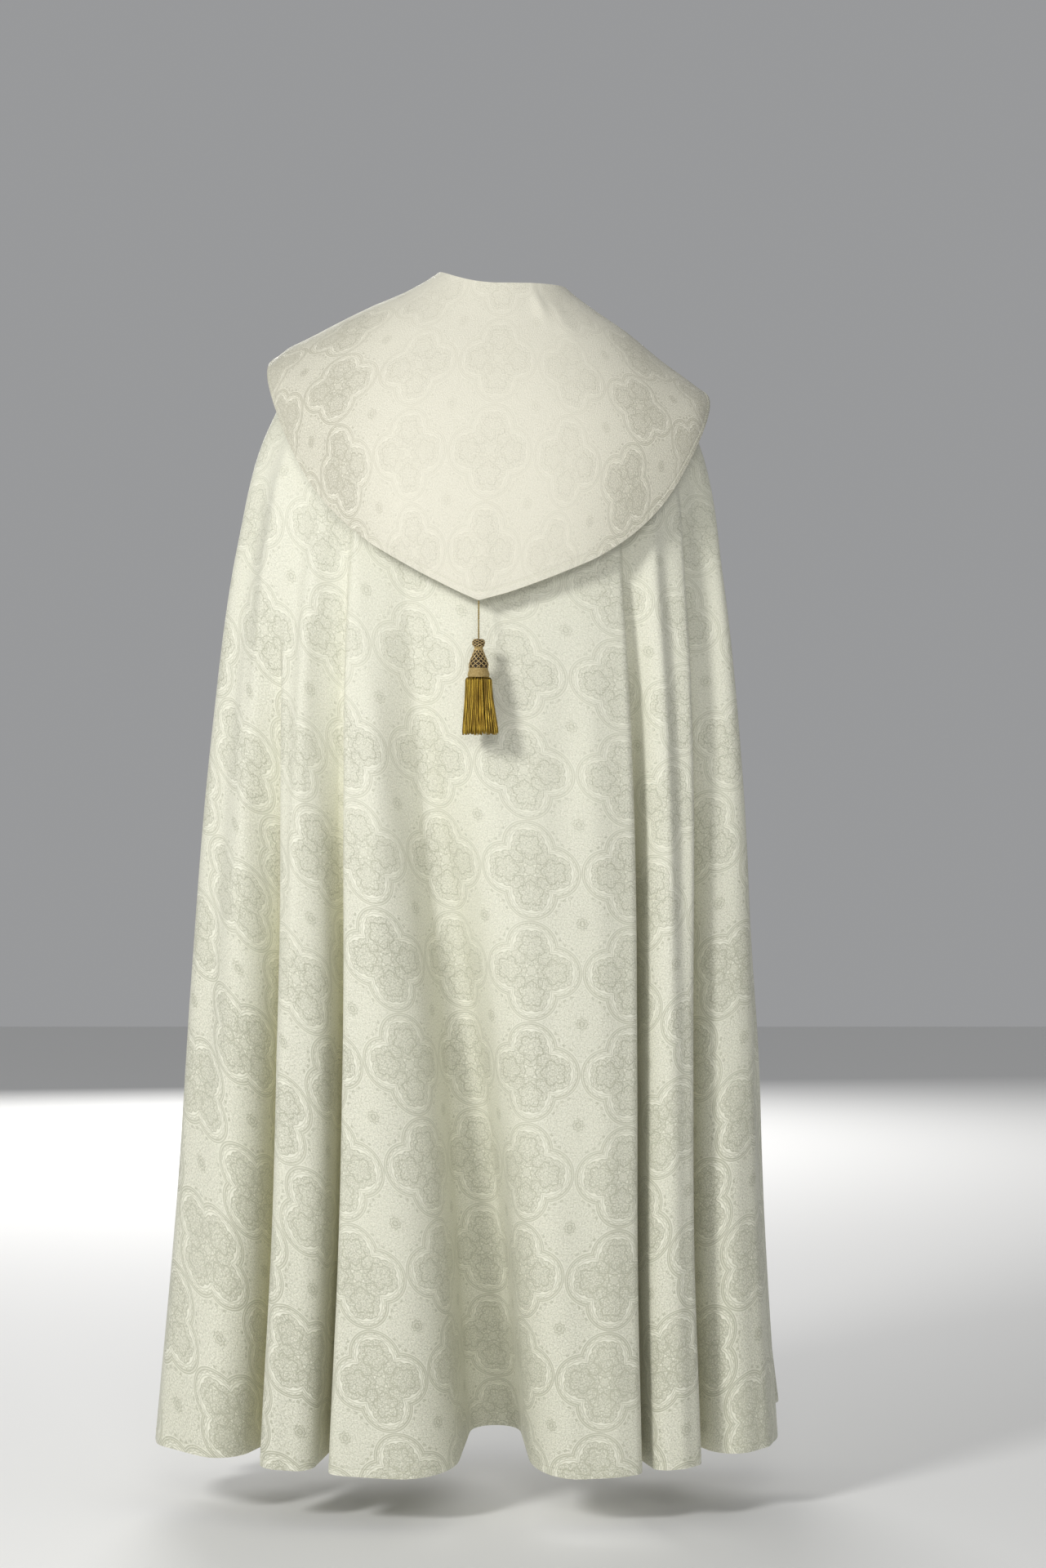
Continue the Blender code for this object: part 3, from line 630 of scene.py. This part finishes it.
def mixed(tree, share, first, second):
    """A colour between two colours or colour sockets."""
    node = tree.nodes.new("ShaderNodeMix")
    node.data_type = "RGBA"
    tree.links.new(share.value, node.inputs["Factor"])
    for name, item in (("A", first), ("B", second)):
        socket = next(s for s in node.inputs if s.name == name and s.type == "RGBA")
        if isinstance(item, tuple):
            socket.default_value = (*item, 1.0)
        else:
            tree.links.new(item, socket)
    return next(s for s in node.outputs if s.type == "RGBA")


def uv_fields(tree, layer):
    """A UV layer's socket, and its two numbers as fields."""
    node = tree.nodes.new("ShaderNodeUVMap")
    node.uv_map = layer
    split = tree.nodes.new("ShaderNodeSeparateXYZ")
    tree.links.new(node.outputs["UV"], split.inputs[0])
    return node.outputs["UV"], Sum(tree, split.outputs["X"]), Sum(tree, split.outputs["Y"])


def cell_edges(tree, x, y, scale):
    """How far a place is from the edge of its cell, in a net of petals and leaves over two fields."""
    place = tree.nodes.new("ShaderNodeCombineXYZ")
    put(place, {"X": x, "Y": y})
    node = tree.nodes.new("ShaderNodeTexVoronoi")
    node.voronoi_dimensions, node.feature = "2D", "DISTANCE_TO_EDGE"
    put(node, {"Scale": scale, "Vector": place.outputs[0]})
    return Sum(tree, node.outputs["Distance"])


def damask_figure(u, v):
    """The woven pattern: its lines, and its stippled masses. Every repeat has a four-lobed frame of
    double lines with a flower in each lobe, and the space between four frames holds a rosette on a
    ground of small leaves."""
    x, y = (abs(c - c.math("ROUND")) for c in (u, v))
    far, near = x.most(y), x.least(y)
    from_lobe = far.distance(near, LOBE_OUT, 0.0)
    frame_at = from_lobe - LOBE_RADIUS
    turn = near.math("ARCTAN2", far - LOBE_OUT)
    outside = 1.0 - frame_at.below(-0.002, 0.004)
    scallop = (turn * SCALLOPS).math("SINE") * SCALLOP_HEIGHT
    lines = (frame_at + scallop).line(SCALLOP_AT, WOVEN_LINE) * 0.75
    for frame in FRAME_LINES:
        lines = lines + frame_at.line(frame.at, WOVEN_LINE * frame.width) * frame.strength
    petals = abs((turn * (PETALS / 2)).math("SINE"))
    reach = from_lobe - petals * PETAL_REACH - abs((turn * (NOTCHES / 2)).math("SINE")) * NOTCH_REACH
    flower = reach.below(FLOWER_RADIUS, 0.008)
    edges = cell_edges(u.tree, x, y, LARGE_CELLS)
    small = cell_edges(u.tree, x, y, SMALL_CELLS)
    lines = lines + flower * edges.below(0.045, 0.04) * 0.60 + flower * small.below(0.05, 0.05) * 0.30
    lines = lines + reach.line(FLOWER_RADIUS, WOVEN_LINE * 0.7) * 0.8
    lines = lines + (reach - petals * INNER_PETAL_REACH).line(INNER_FLOWER, WOVEN_LINE) * flower
    heart = x.distance(y, 0.0, 0.0)
    heart_lobes = abs((y.math("ARCTAN2", x) * HEART_LOBES).math("SINE"))
    lines = lines + (heart - heart_lobes * HEART_REACH).line(HEART_RADIUS, WOVEN_LINE)
    lens = far.distance(near, *LENS_AT).line(LENS_RADIUS, WOVEN_LINE)
    lines = lines + lens * heart.below(LENS_WITHIN, 0.02) * 0.8
    corner = x.distance(y, 0.5, 0.5)
    corner_turn = (0.5 - y).math("ARCTAN2", 0.5 - x)
    rosette = corner - (corner_turn * ROSETTE_LOBES).math("COSINE") * ROSETTE_REACH
    in_rosette = rosette.below(ROSETTE_RADIUS, 0.004)
    lines = lines + rosette.line(ROSETTE_RADIUS, WOVEN_LINE) + corner.line(ROSETTE_EYE, 0.006)
    drops = (turn * DROPS).math("SINE").below(-0.25, 0.4) * frame_at.band(*DROP_BAND)
    lines = lines + drops * (far - near).below(0.20, 0.04) * 0.6
    leaves = outside * in_rosette * small.below(0.07, 0.08) * 0.7
    off_rosette = 1.0 - rosette.below(ROSETTE_RADIUS + 0.008, 0.01)
    ground = outside * off_rosette * (1.0 - frame_at.below(0.010, 0.006))
    lines = lines + leaves + ground * edges.below(0.040, 0.05) * 0.40
    mass = flower * 0.75 + ground * 0.55 + outside * in_rosette * 0.5
    return lines.clamped(), (mass + frame_at.band(*FRAME_BAND) * 0.5).clamped()


def node_material(name):
    """A new material, with its nodes and its shader."""
    made = bpy.data.materials.new(name)
    made.use_nodes = True
    return made, made.node_tree, made.node_tree.nodes["Principled BSDF"]


def bumped(tree, shader, height, strength, distance):
    """Gives a shader the relief of a field."""
    bump = tree.nodes.new("ShaderNodeBump")
    put(bump, {"Strength": strength, "Distance": distance, "Height": height})
    put(shader, {"Normal": bump.outputs["Normal"]})


def tinted(colour, tint):
    """A colour times a tint."""
    return tuple(a * b for a, b in zip(colour, tint))


def damask(look):
    """Satin damask, with a raised figure that is darker and a little glossier than its ground."""
    made, tree, shader = node_material(look.name)
    put(shader, SATIN)
    cut, u, v = uv_fields(tree, "cut")
    lines, mass = damask_figure(u * (1 / REPEAT), v * (1 / REPEAT))
    _, hem, sunk = uv_fields(tree, "edge")
    flecks = noise(tree, cut, FLECK_SCALE).contrast(*FLECK_CONTRAST)
    weft = (v * (2 * math.pi / WEFT_PITCH)).math("SINE") * 0.5
    warp = (u * (2 * math.pi / WARP_PITCH)).math("SINE") * 0.5
    patches = noise(tree, cut, PATCH_SCALE, 3.0)
    faded = noise(tree, cut, FADE_SCALE).contrast(*FADE_CONTRAST) * 0.30 + 0.70
    faded = faded * (u.distance(v, 0.0, 0.0) * 0.45 + abs(u) * 0.20 + look.least)
    # Painted sheen: the figure is faded in the middle of the cut, where the hood faces the light and sheen
    # would wash the pattern out.
    faded = faded * (1.0 - abs(u).below(SHEEN_WASH_HALF, SHEEN_WASH_SOFT) * look.plain_middle)
    woven = ((lines * 0.9 + mass * (flecks * 1.20 + 0.05)) * faded).clamped()
    tone = mixed(tree, (woven * 0.95 + flecks * 0.12).clamped(), look.light, look.figure)
    tone = mixed(tree, patches.contrast(*GLOW_CONTRAST) * 0.30, tone, look.glow)
    slub = noise(tree, cut, SLUB_SCALE, 1.0).contrast(*SLUB_CONTRAST) * 0.10
    tone = mixed(tree, slub, tone, tinted(look.light, SLUB_TINT))
    worn = hem.below(WORN_WIDTH, WORN_SOFT) * patches.contrast(*WORN_CONTRAST) * 0.22
    tone = mixed(tree, worn, tone, tinted(look.light, WORN_TINT))
    # Painted light: deep in the narrow pleats the colour turns to the brighter, yellower deep tint,
    # standing in for light that bounces between the pleats and shines through the cloth.
    painted_pleat_light = ((sunk - SUNK_FROM) * SUNK_STEEPNESS).clamped() * (1.0 - woven * 0.4)
    put(shader, {"Base Color": mixed(tree, painted_pleat_light, tone, look.deep),
                 "Roughness": 0.50 - woven * 0.15 + flecks * 0.05 + patches * 0.05})
    threads = weft * (1.0 - woven) * 0.20 + warp * woven * 0.26
    height = woven * 0.60 + threads + flecks * 0.30 - hem.line(HEM_WIDTH, HEM_LINE) * 0.8
    bumped(tree, shader, height + patches * 0.2, 0.8, RELIEF)
    return made


def thread_metal(look):
    """Metal-wrapped thread: fine grain on it, and streaks of dark between bright ones."""
    made, tree, shader = node_material(look.name)
    place = tree.nodes.new("ShaderNodeTexCoord").outputs["Object"]
    fine = noise(tree, place, look.scale)
    drawn = tree.nodes.new("ShaderNodeMapping")
    put(drawn, {"Scale": (1.0, 1.0, look.streak), "Vector": place})
    broad = noise(tree, drawn.outputs[0], look.scale * BROADER)
    bright = (fine * 0.3 + broad * 0.7).contrast(*STREAK_CONTRAST)
    put(shader, {"Metallic": look.metallic, "Base Color": mixed(tree, bright, look.dark, look.colour),
                 "Roughness": fine * 0.30 + look.roughness - 0.12})
    bumped(tree, shader, noise(tree, place, look.scale * FINER, 1.0), 0.6, METAL_RELIEF)
    return made


def thread_material():
    """Ivory sewing thread."""
    made, tree, shader = node_material("sewing_thread")
    place = tree.nodes.new("ShaderNodeTexCoord").outputs["Object"]
    tone = mixed(tree, noise(tree, place, THREAD_MOTTLE), THREAD_DARK, THREAD_LIGHT)
    put(shader, {"Sheen Weight": 0.2, "Base Color": tone,
                 "Roughness": noise(tree, place, THREAD_GRAIN) * 0.2 + 0.45})
    return made


CLOAK_DAMASK, HOOD_DAMASK = damask(CLOAK_LOOK), damask(HOOD_LOOK)
BULLION, THIN_GOLD, NET_GOLD, BAND_GOLD, CORE_PAINTED_SHADE = (
    thread_metal(look) for look in (BULLION_LOOK, CORD_LOOK, NET_LOOK, BAND_LOOK, CORE_SHADE_LOOK))
THREAD = thread_material()


def ride(piece, slot, *nodes):
    """Puts a piece on the part's one body and hides the solids it stands for; slot is not used."""
    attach(piece, "root")
    if nodes:
        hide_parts(*nodes)
    return piece


def row_from_middle(share):
    """The distance round every row of the cloak from the middle of the back to a share."""
    lead = cloak_at(*np.meshgrid(np.linspace(0, share, LEAD_STEPS), CLOAK_DOWNS, indexing="ij"))
    return lengths(lead)[-1] * math.copysign(1, share)


def cloak_panel(panel):
    """One panel of the cloak: its grid, its outward directions, its place on the cut, and how far it is
    from a hem and how deep in a narrow pleat."""
    shares = spread_shares(panel.low, panel.high, panel.columns, CLOAK_DOWNS[SPREAD_ROWS])
    grid, facing = faced(cloak_at, shares, CLOAK_DOWNS)
    radius = NECK_RADIUS + CLOAK_DOWNS * (HEM_RADIUS - NECK_RADIUS) / HEM_DOWN
    cut = on_cut(radius, (lengths(grid) + row_from_middle(panel.low)) / radius)
    share, down = np.meshgrid(shares, CLOAK_DOWNS, indexing="ij")
    angle = angle_at(share, down)
    # How deep each place lies in the narrow pleats, which sets where the damask's painted light goes.
    narrow = [fold for fold in FOLDS if fold.depth > 0 and fold.left < BROAD]
    sunk = sum(fold_shape(fold, angle, down)[0] for fold in narrow)
    hem = np.broadcast_to(HEM_DOWN - CLOAK_DOWNS, grid.shape[:2])
    for end, place in ((0, panel.low), (-1, panel.high)):
        if abs(place) == 1:
            hem = np.minimum(hem, np.linalg.norm(grid - grid[end], axis=-1))
        else:
            inward = grid[1] - grid[0] if end == 0 else grid[-2] - grid[-1]
            grid[end] += unit(inward) * SEAM_GAP / 2
    return grid, facing, cut, np.stack([hem, sunk], axis=-1)


def cloak_pieces():
    """The back and the two fronts, by name: their points and outward directions."""
    made = {}
    for panel in PANELS:
        grid, facing, cut, edges = cloak_panel(panel)
        piece = shell(panel.name, grid, facing, CLOAK_SHEET, cut, edges, CLOAK_DAMASK)
        ride(piece, "damask", panel.node)
        made[panel.name] = (grid, facing)
    return made


def hood_piece():
    """The hood, stiffer than the cloak, with soft dents: its points and outward directions."""
    shares = np.linspace(-1, 1, HOOD_COLUMNS)
    grid, facing = faced(hood_at, shares, HOOD_FALLS)
    across, fall = np.meshgrid(shares * HOOD_EDGE[-1].angle, HOOD_FALLS, indexing="ij")
    lift = np.zeros_like(across)
    for dent in HOOD_DENTS:
        near = ((across - dent.angle) / dent.wide) ** 2 + ((fall - dent.fall) / dent.long) ** 2
        lift += dent.height * np.exp(-near)
    grid = grid + facing * lift[..., None]
    reach = smooth(HOOD_EDGE, "down", np.abs(across))
    downs = reach * fall
    cut = on_cut(NECK_RADIUS + downs, np.radians(across))
    edges = np.stack([(reach - downs) * EDGE_SLANT, np.zeros_like(downs)], axis=-1)
    piece = shell("hood_cloth", grid, facing, HOOD_SHEET, cut, edges, HOOD_DAMASK)
    ride(piece, "damask", "hood")
    return grid, facing


def beside(path):
    """Two directions at right angles to a path and to each other, at each of its points."""
    ahead = unit(np.gradient(path, axis=0))
    side = unit(np.cross(ahead, np.where(np.abs(ahead[:, 2:]) > STEEP, (1.0, 0, 0), (0, 0, 1.0))))
    return side, np.cross(side, ahead)


def tubes(name, paths, radius, sides, material, taper=1.0):
    """Round threads along paths, joined in one mesh, each with closed ends that narrow to a taper."""
    vertices, faces = [], []
    turn = np.linspace(0, 2 * math.pi, sides, endpoint=False)
    for path in paths:
        side, up = beside(path)
        share = np.linspace(0, 1, len(path))
        size = radius * np.interp(share, (0, TAPERED, 1 - TAPERED, 1), (taper, 1, 1, taper))
        first = sum(len(v) for v in vertices)
        rings = path[:, None] + size[:, None, None] * (side[:, None] * np.cos(turn)[:, None] +
                                                       up[:, None] * np.sin(turn)[:, None])
        vertices.append(rings.reshape(-1, 3))
        number = first + np.arange(len(path) * sides).reshape(len(path), sides)
        after = np.roll(number, -1, axis=1)
        quads = np.stack([number[:-1], after[:-1], after[1:], number[1:]], axis=-1).reshape(-1, 4)
        faces += [tuple(q) for q in quads.tolist()]
        faces += [tuple(number[0, ::-1].tolist()), tuple(number[-1].tolist())]
    return new_mesh(name, np.concatenate(vertices), faces, material)


def plies(path):
    """The paths of a cord's twisted plies round its own path."""
    side, up = beside(path)
    turns = [2 * math.pi * (lengths(path) / PLY_PITCH + k / PLY_COUNT)[:, None] for k in range(PLY_COUNT)]
    return [path + PLY_OFFSET * (side * np.cos(turn) + up * np.sin(turn)) for turn in turns]


def stitches(name, runs):
    """Small raised stitches along lines that lie on the cloth. A run holds points and directions out."""
    paths = []
    for line, out in runs:
        run = lengths(line)
        for start in np.arange(STITCH_PITCH / 2, run[-1] - STITCH_PITCH, STITCH_PITCH):
            at = start + STITCH_LENGTH * STITCH_PLACES
            place = np.stack([np.interp(at, run, line[:, k]) for k in range(3)], axis=-1)
            lift = np.stack([np.interp(at, run, out[:, k]) for k in range(3)], axis=-1)
            paths.append(place + lift * (STITCH_LIFTS * STITCH_RADIUS)[:, None])
    ride(tubes(name, paths, STITCH_RADIUS, STITCH_SIDES, THREAD, STITCH_TAPER), "damask")


def cloak_stitching(cloth):
    """Lines of stitches along the hem and the front edges, sunk a little into the cloth."""
    row = int(np.argmin(np.abs(CLOAK_DOWNS - (HEM_DOWN - HEM_WIDTH))))
    runs = [(grid[:, row], facing[:, row]) for grid, facing in cloth.values()]
    for name, side in (("right_front_cloth", 0), ("left_front_cloth", -1)):
        grid, facing = cloth[name]
        if side:
            grid, facing = grid[::-1], facing[::-1]
        off = np.linalg.norm(grid - grid[0], axis=-1)
        place, out = [], []
        for j in range(grid.shape[1]):
            near = int(np.searchsorted(off[:, j], HEM_WIDTH))
            part = (HEM_WIDTH - off[near - 1, j]) / (off[near, j] - off[near - 1, j])
            place.append(grid[near - 1, j] * (1 - part) + grid[near, j] * part)
            out.append(facing[near, j])
        runs.append((np.array(place)[CLEAR_OF_ENDS], np.array(out)[CLEAR_OF_ENDS]))
    stitches("hem_stitching", runs)


def hood_stitching(grid, facing):
    """A line of stitches along the hood's edge."""
    fallen = lengths(grid.transpose(1, 0, 2))
    run = fallen[-1] - fallen
    row = int(np.argmin(np.abs(run[:, run.shape[1] // 2] - HEM_WIDTH)))
    stitches("hood_stitching", [(grid[HOOD_INNER, row], facing[HOOD_INNER, row])])


def morse_piece():
    """The padded cloth tab that bridges the front edges, with a stitched border."""
    middle = np.full(MORSE_STEPS, sum(MORSE_DOWN) / 2)
    shares = np.linspace(MORSE_FROM_SHARE, 1.0, MORSE_STEPS)
    left = np.interp(-MORSE_REACH, -cloak_at(shares, middle)[:, 0], shares)
    right = float(shares[np.argmin(np.abs(cloak_at(-shares, middle)[:, 0] + MORSE_REACH))])
    downs = np.linspace(*MORSE_DOWN, MORSE_ROWS)
    a, face_a = faced(cloak_at, np.linspace(left, 1.0, MORSE_SIDE_COLUMNS), downs)
    b, face_b = faced(cloak_at, np.linspace(-1.0, -right, MORSE_SIDE_COLUMNS), downs)
    share = np.linspace(0, 1, MORSE_BRIDGE_COLUMNS)[1:-1, None, None]
    grid = np.concatenate([a, a[-1] * (1 - share) + b[0] * share, b])
    facing = unit(np.concatenate([face_a, face_a[-1] * (1 - share) + face_b[0] * share, face_b]))
    along = lengths(grid)
    down = lengths(grid.transpose(1, 0, 2)).T
    rim = np.minimum(np.minimum(along, along[-1] - along), np.minimum(down, down[:, -1:] - down))
    crown = MORSE_WALL * (np.sqrt(1 - (1 - np.clip(rim / MORSE_ROUND, 0, 1)) ** 2) - 1)
    crown += MORSE_SWELL * ease((rim - MORSE_STITCH_IN) / MORSE_SWELL_WIDTH)
    thick = (MORSE_WALL + crown * MORSE_ROUNDING)[..., None]
    outer = grid + facing * (SEAM_GAP + thick)
    cut = np.stack([along - along[-1] / 2, -down - NECK_RADIUS], axis=-1)
    edges = np.stack([np.ones_like(rim), np.zeros_like(rim)], axis=-1)
    piece = shell("morse_cloth", outer, facing, thick, cut, edges, HOOD_DAMASK)
    ride(piece, "damask", "morse")
    upper = [int(np.searchsorted(column, MORSE_STITCH_IN)) for column in down]
    lower = [-1 - row for row in upper]
    columns = np.arange(len(down))
    stitches("morse_stitching", [(outer[columns, rows][MORSE_INNER], facing[columns, rows][MORSE_INNER])
                                 for rows in (upper, lower)])


def head_radius(down):
    """The radius of the tassel's head at heights below its top."""
    return smooth(TASSEL_HEAD, "radius", down)


def wound(top, radius, turn, down):
    """Points round the tassel's axis."""
    x, y, z = np.broadcast_arrays(radius * np.cos(turn), radius * np.sin(turn), -down)
    return top + np.stack([x, y, z], axis=-1)


def net_paths(top, net):
    """Threads that wind both ways over the head between two heights, passing over and under."""
    made = []
    for way in (-1, 1):
        for k in range(net.count):
            down = np.linspace(net.low, net.high, NET_POINTS)
            share = (down - net.low) / (net.high - net.low)
            turn = 2 * math.pi * (k / net.count + way * net.turns * share)
            weave = np.sin(share * math.pi * 2 * net.turns * net.count + k * math.pi) * way
            radius = head_radius(down) + net.lift * (1 - OVER_UNDER + OVER_UNDER * weave)
            made.append(wound(top, radius, turn, down))
    return made


def head_core(top, material):
    """The core of the tassel's head: rings of points round its axis, closed at both ends."""
    downs = np.linspace(0, TASSEL_HEAD[-1].down, HEAD_ROWS)[:, None]
    turn = np.linspace(0, 2 * math.pi, HEAD_COLUMNS, endpoint=False)
    rings = wound(top, head_radius(downs), turn, downs)
    number = np.arange(HEAD_ROWS * HEAD_COLUMNS).reshape(HEAD_ROWS, HEAD_COLUMNS)
    after = np.roll(number, -1, axis=1)
    faces = np.stack([number[:-1], number[1:], after[1:], after[:-1]], axis=-1).reshape(-1, 4).tolist()
    faces += [number[0].tolist(), number[-1, ::-1].tolist()]
    mesh = bpy.data.meshes.new("tassel_head")
    mesh.from_pydata(rings.reshape(-1, 3), [], faces)
    mesh.shade_smooth()
    return new_object("tassel_head", mesh, material)


def skirt_paths(top):
    """Each strand's path: out from under the band, then down, with its own small sway and length."""
    chance = np.random.default_rng(12)
    made = []
    start = TASSEL_HEAD[-1].down - SKIRT_ROOTED
    fall = np.linspace(0, 1, STRAND_POINTS)
    over = np.clip(fall / STRAND_BEND, 0, 1)
    spread = ease((fall - STRAND_SPREADS) / STRAND_SPREAD_RUN)
    spread /= ease((1 - STRAND_SPREADS) / STRAND_SPREAD_RUN)
    for ring in STRAND_RINGS:
        for k in range(ring.count):
            turn = 2 * math.pi * (k + chance.uniform(-STRAND_JITTER, STRAND_JITTER)) / ring.count
            radius = ring.root + (ring.bend - ring.root) * np.sqrt(1 - (1 - over) ** 2)
            leans = 1.0 - STRAND_LEAN * math.cos(turn)
            radius = radius + (ring.end * leans - ring.bend) * spread
            sway = chance.uniform(-STRAND_SWAY, STRAND_SWAY)
            sway = sway * np.sin(fall * math.pi * chance.uniform(*STRAND_WAVES))
            length = SKIRT_LENGTH * (1 - chance.uniform(0, STRAND_SHORTER))
            path = wound(0.0, radius, turn + sway / radius, start + length * fall)
            made.append(top + path * (1, SKIRT_FLATNESS, 1))
    return made


def tassel_pieces():
    """The cord from the hood's point, and the tassel: its core, nets, neck, band and skirt."""
    grid, facing = faced(hood_at, np.array([0.0]), np.array([1.0]))
    tip = grid[0, 0] - facing[0, 0] * HOOD_WALL / 2
    start = tip - np.array([0, 0, SEAM_GAP])
    end = start + np.array([0, TASSEL_OUT, -TASSEL_CORD_LENGTH])
    share = np.linspace(0, 1, CORD_POINTS)[:, None]
    path = start * (1 - share) + end * share
    cord = tubes("tassel_thread", plies(path), PLY_RADIUS, PLY_SIDES, THIN_GOLD)
    ride(cord, "gold", "tassel_cord")
    top = end - np.array([0, 0, SEAM_GAP])
    # The near-black core is painted shade showing through the holes of the nets.
    core = head_core(top, CORE_PAINTED_SHADE)
    knob = tubes("tassel_knob_net", net_paths(top, KNOB_NET), KNOB_NET.radius, NET_SIDES, NET_GOLD)
    down = np.linspace(*NECK_SPAN, NECK_POINTS)
    threads = [wound(top, head_radius(down) + NECK_LIFT, 2 * math.pi * k / NECK_THREADS, down)
               for k in range(NECK_THREADS)]
    neck = tubes("tassel_neck", threads, NECK_THREAD, WOUND_SIDES, BAND_GOLD)
    bell = tubes("tassel_bell_net", net_paths(top, BELL_NET), BELL_NET.radius, NET_SIDES, NET_GOLD)
    down = np.linspace(*BAND_SPAN, BAND_TURNS * BAND_POINTS)
    turn = 2 * math.pi * BAND_TURNS * (down - BAND_SPAN[0]) / (BAND_SPAN[1] - BAND_SPAN[0])
    band = tubes("tassel_band", [wound(top, head_radius(down) + BAND_LIFT, turn, down)],
                 BAND_THREAD, WOUND_SIDES, BAND_GOLD)
    skirt = tubes("tassel_skirt", skirt_paths(top), STRAND_RADIUS, STRAND_SIDES, BULLION, STRAND_TAPER)
    for piece in (core, knob, neck, bell, band, skirt):
        ride(piece, "gold", "tassel")
    float(np.linalg.norm(end - start))


def camera_and_lights():
    """The photograph's camera, the studio's lamps and the light from all round."""
    data = bpy.data.cameras.new("camera")
    data.sensor_fit, data.sensor_height = "VERTICAL", SENSOR
    data.sensor_width = SENSOR * PHOTO_WIDTH / PHOTO_HEIGHT
    data.lens = LENS
    camera = new_object("camera", data)
    camera.location = CAMERA_AT
    camera.rotation_euler = (math.pi / 2, 0, math.pi)
    bpy.context.scene.camera = camera
    for lamp in LAMPS:
        light = bpy.data.lights.new(lamp.name, "AREA")
        light.shape, light.size, light.energy, light.color = "DISK", lamp.size, lamp.power, lamp.colour
        made = new_object(lamp.name, light)
        made.location = lamp.place
        aim = Vector(LAMPS_AIM) - Vector(lamp.place)
        made.rotation_euler = aim.to_track_quat("-Z", "Y").to_euler()
    world = bpy.data.worlds.new("studio")
    world.use_nodes = True
    put(world.node_tree.nodes["Background"], {"Color": STUDIO_COLOUR, "Strength": STUDIO_STRENGTH})
    bpy.context.scene.world = world
    bpy.context.scene.view_settings.view_transform = "Standard"


def floor():
    """The plain pale floor."""
    mesh = bpy.data.meshes.new("floor")
    corners = ((-1, -1), (1, -1), (1, 1), (-1, 1))
    mesh.from_pydata([(x * FLOOR_REACH, y * FLOOR_REACH, FLOOR_Z) for x, y in corners], [], [(0, 1, 2, 3)])
    made, _, shader = node_material("floor")
    put(shader, {"Base Color": FLOOR_COLOUR, "Roughness": FLOOR_ROUGHNESS})
    new_object("floor", mesh, made)


camera_and_lights()
floor()
cloak_cloth = cloak_pieces()
hood_cloth = hood_piece()
morse_piece()
tassel_pieces()
cloak_stitching(cloak_cloth)
hood_stitching(*hood_cloth)
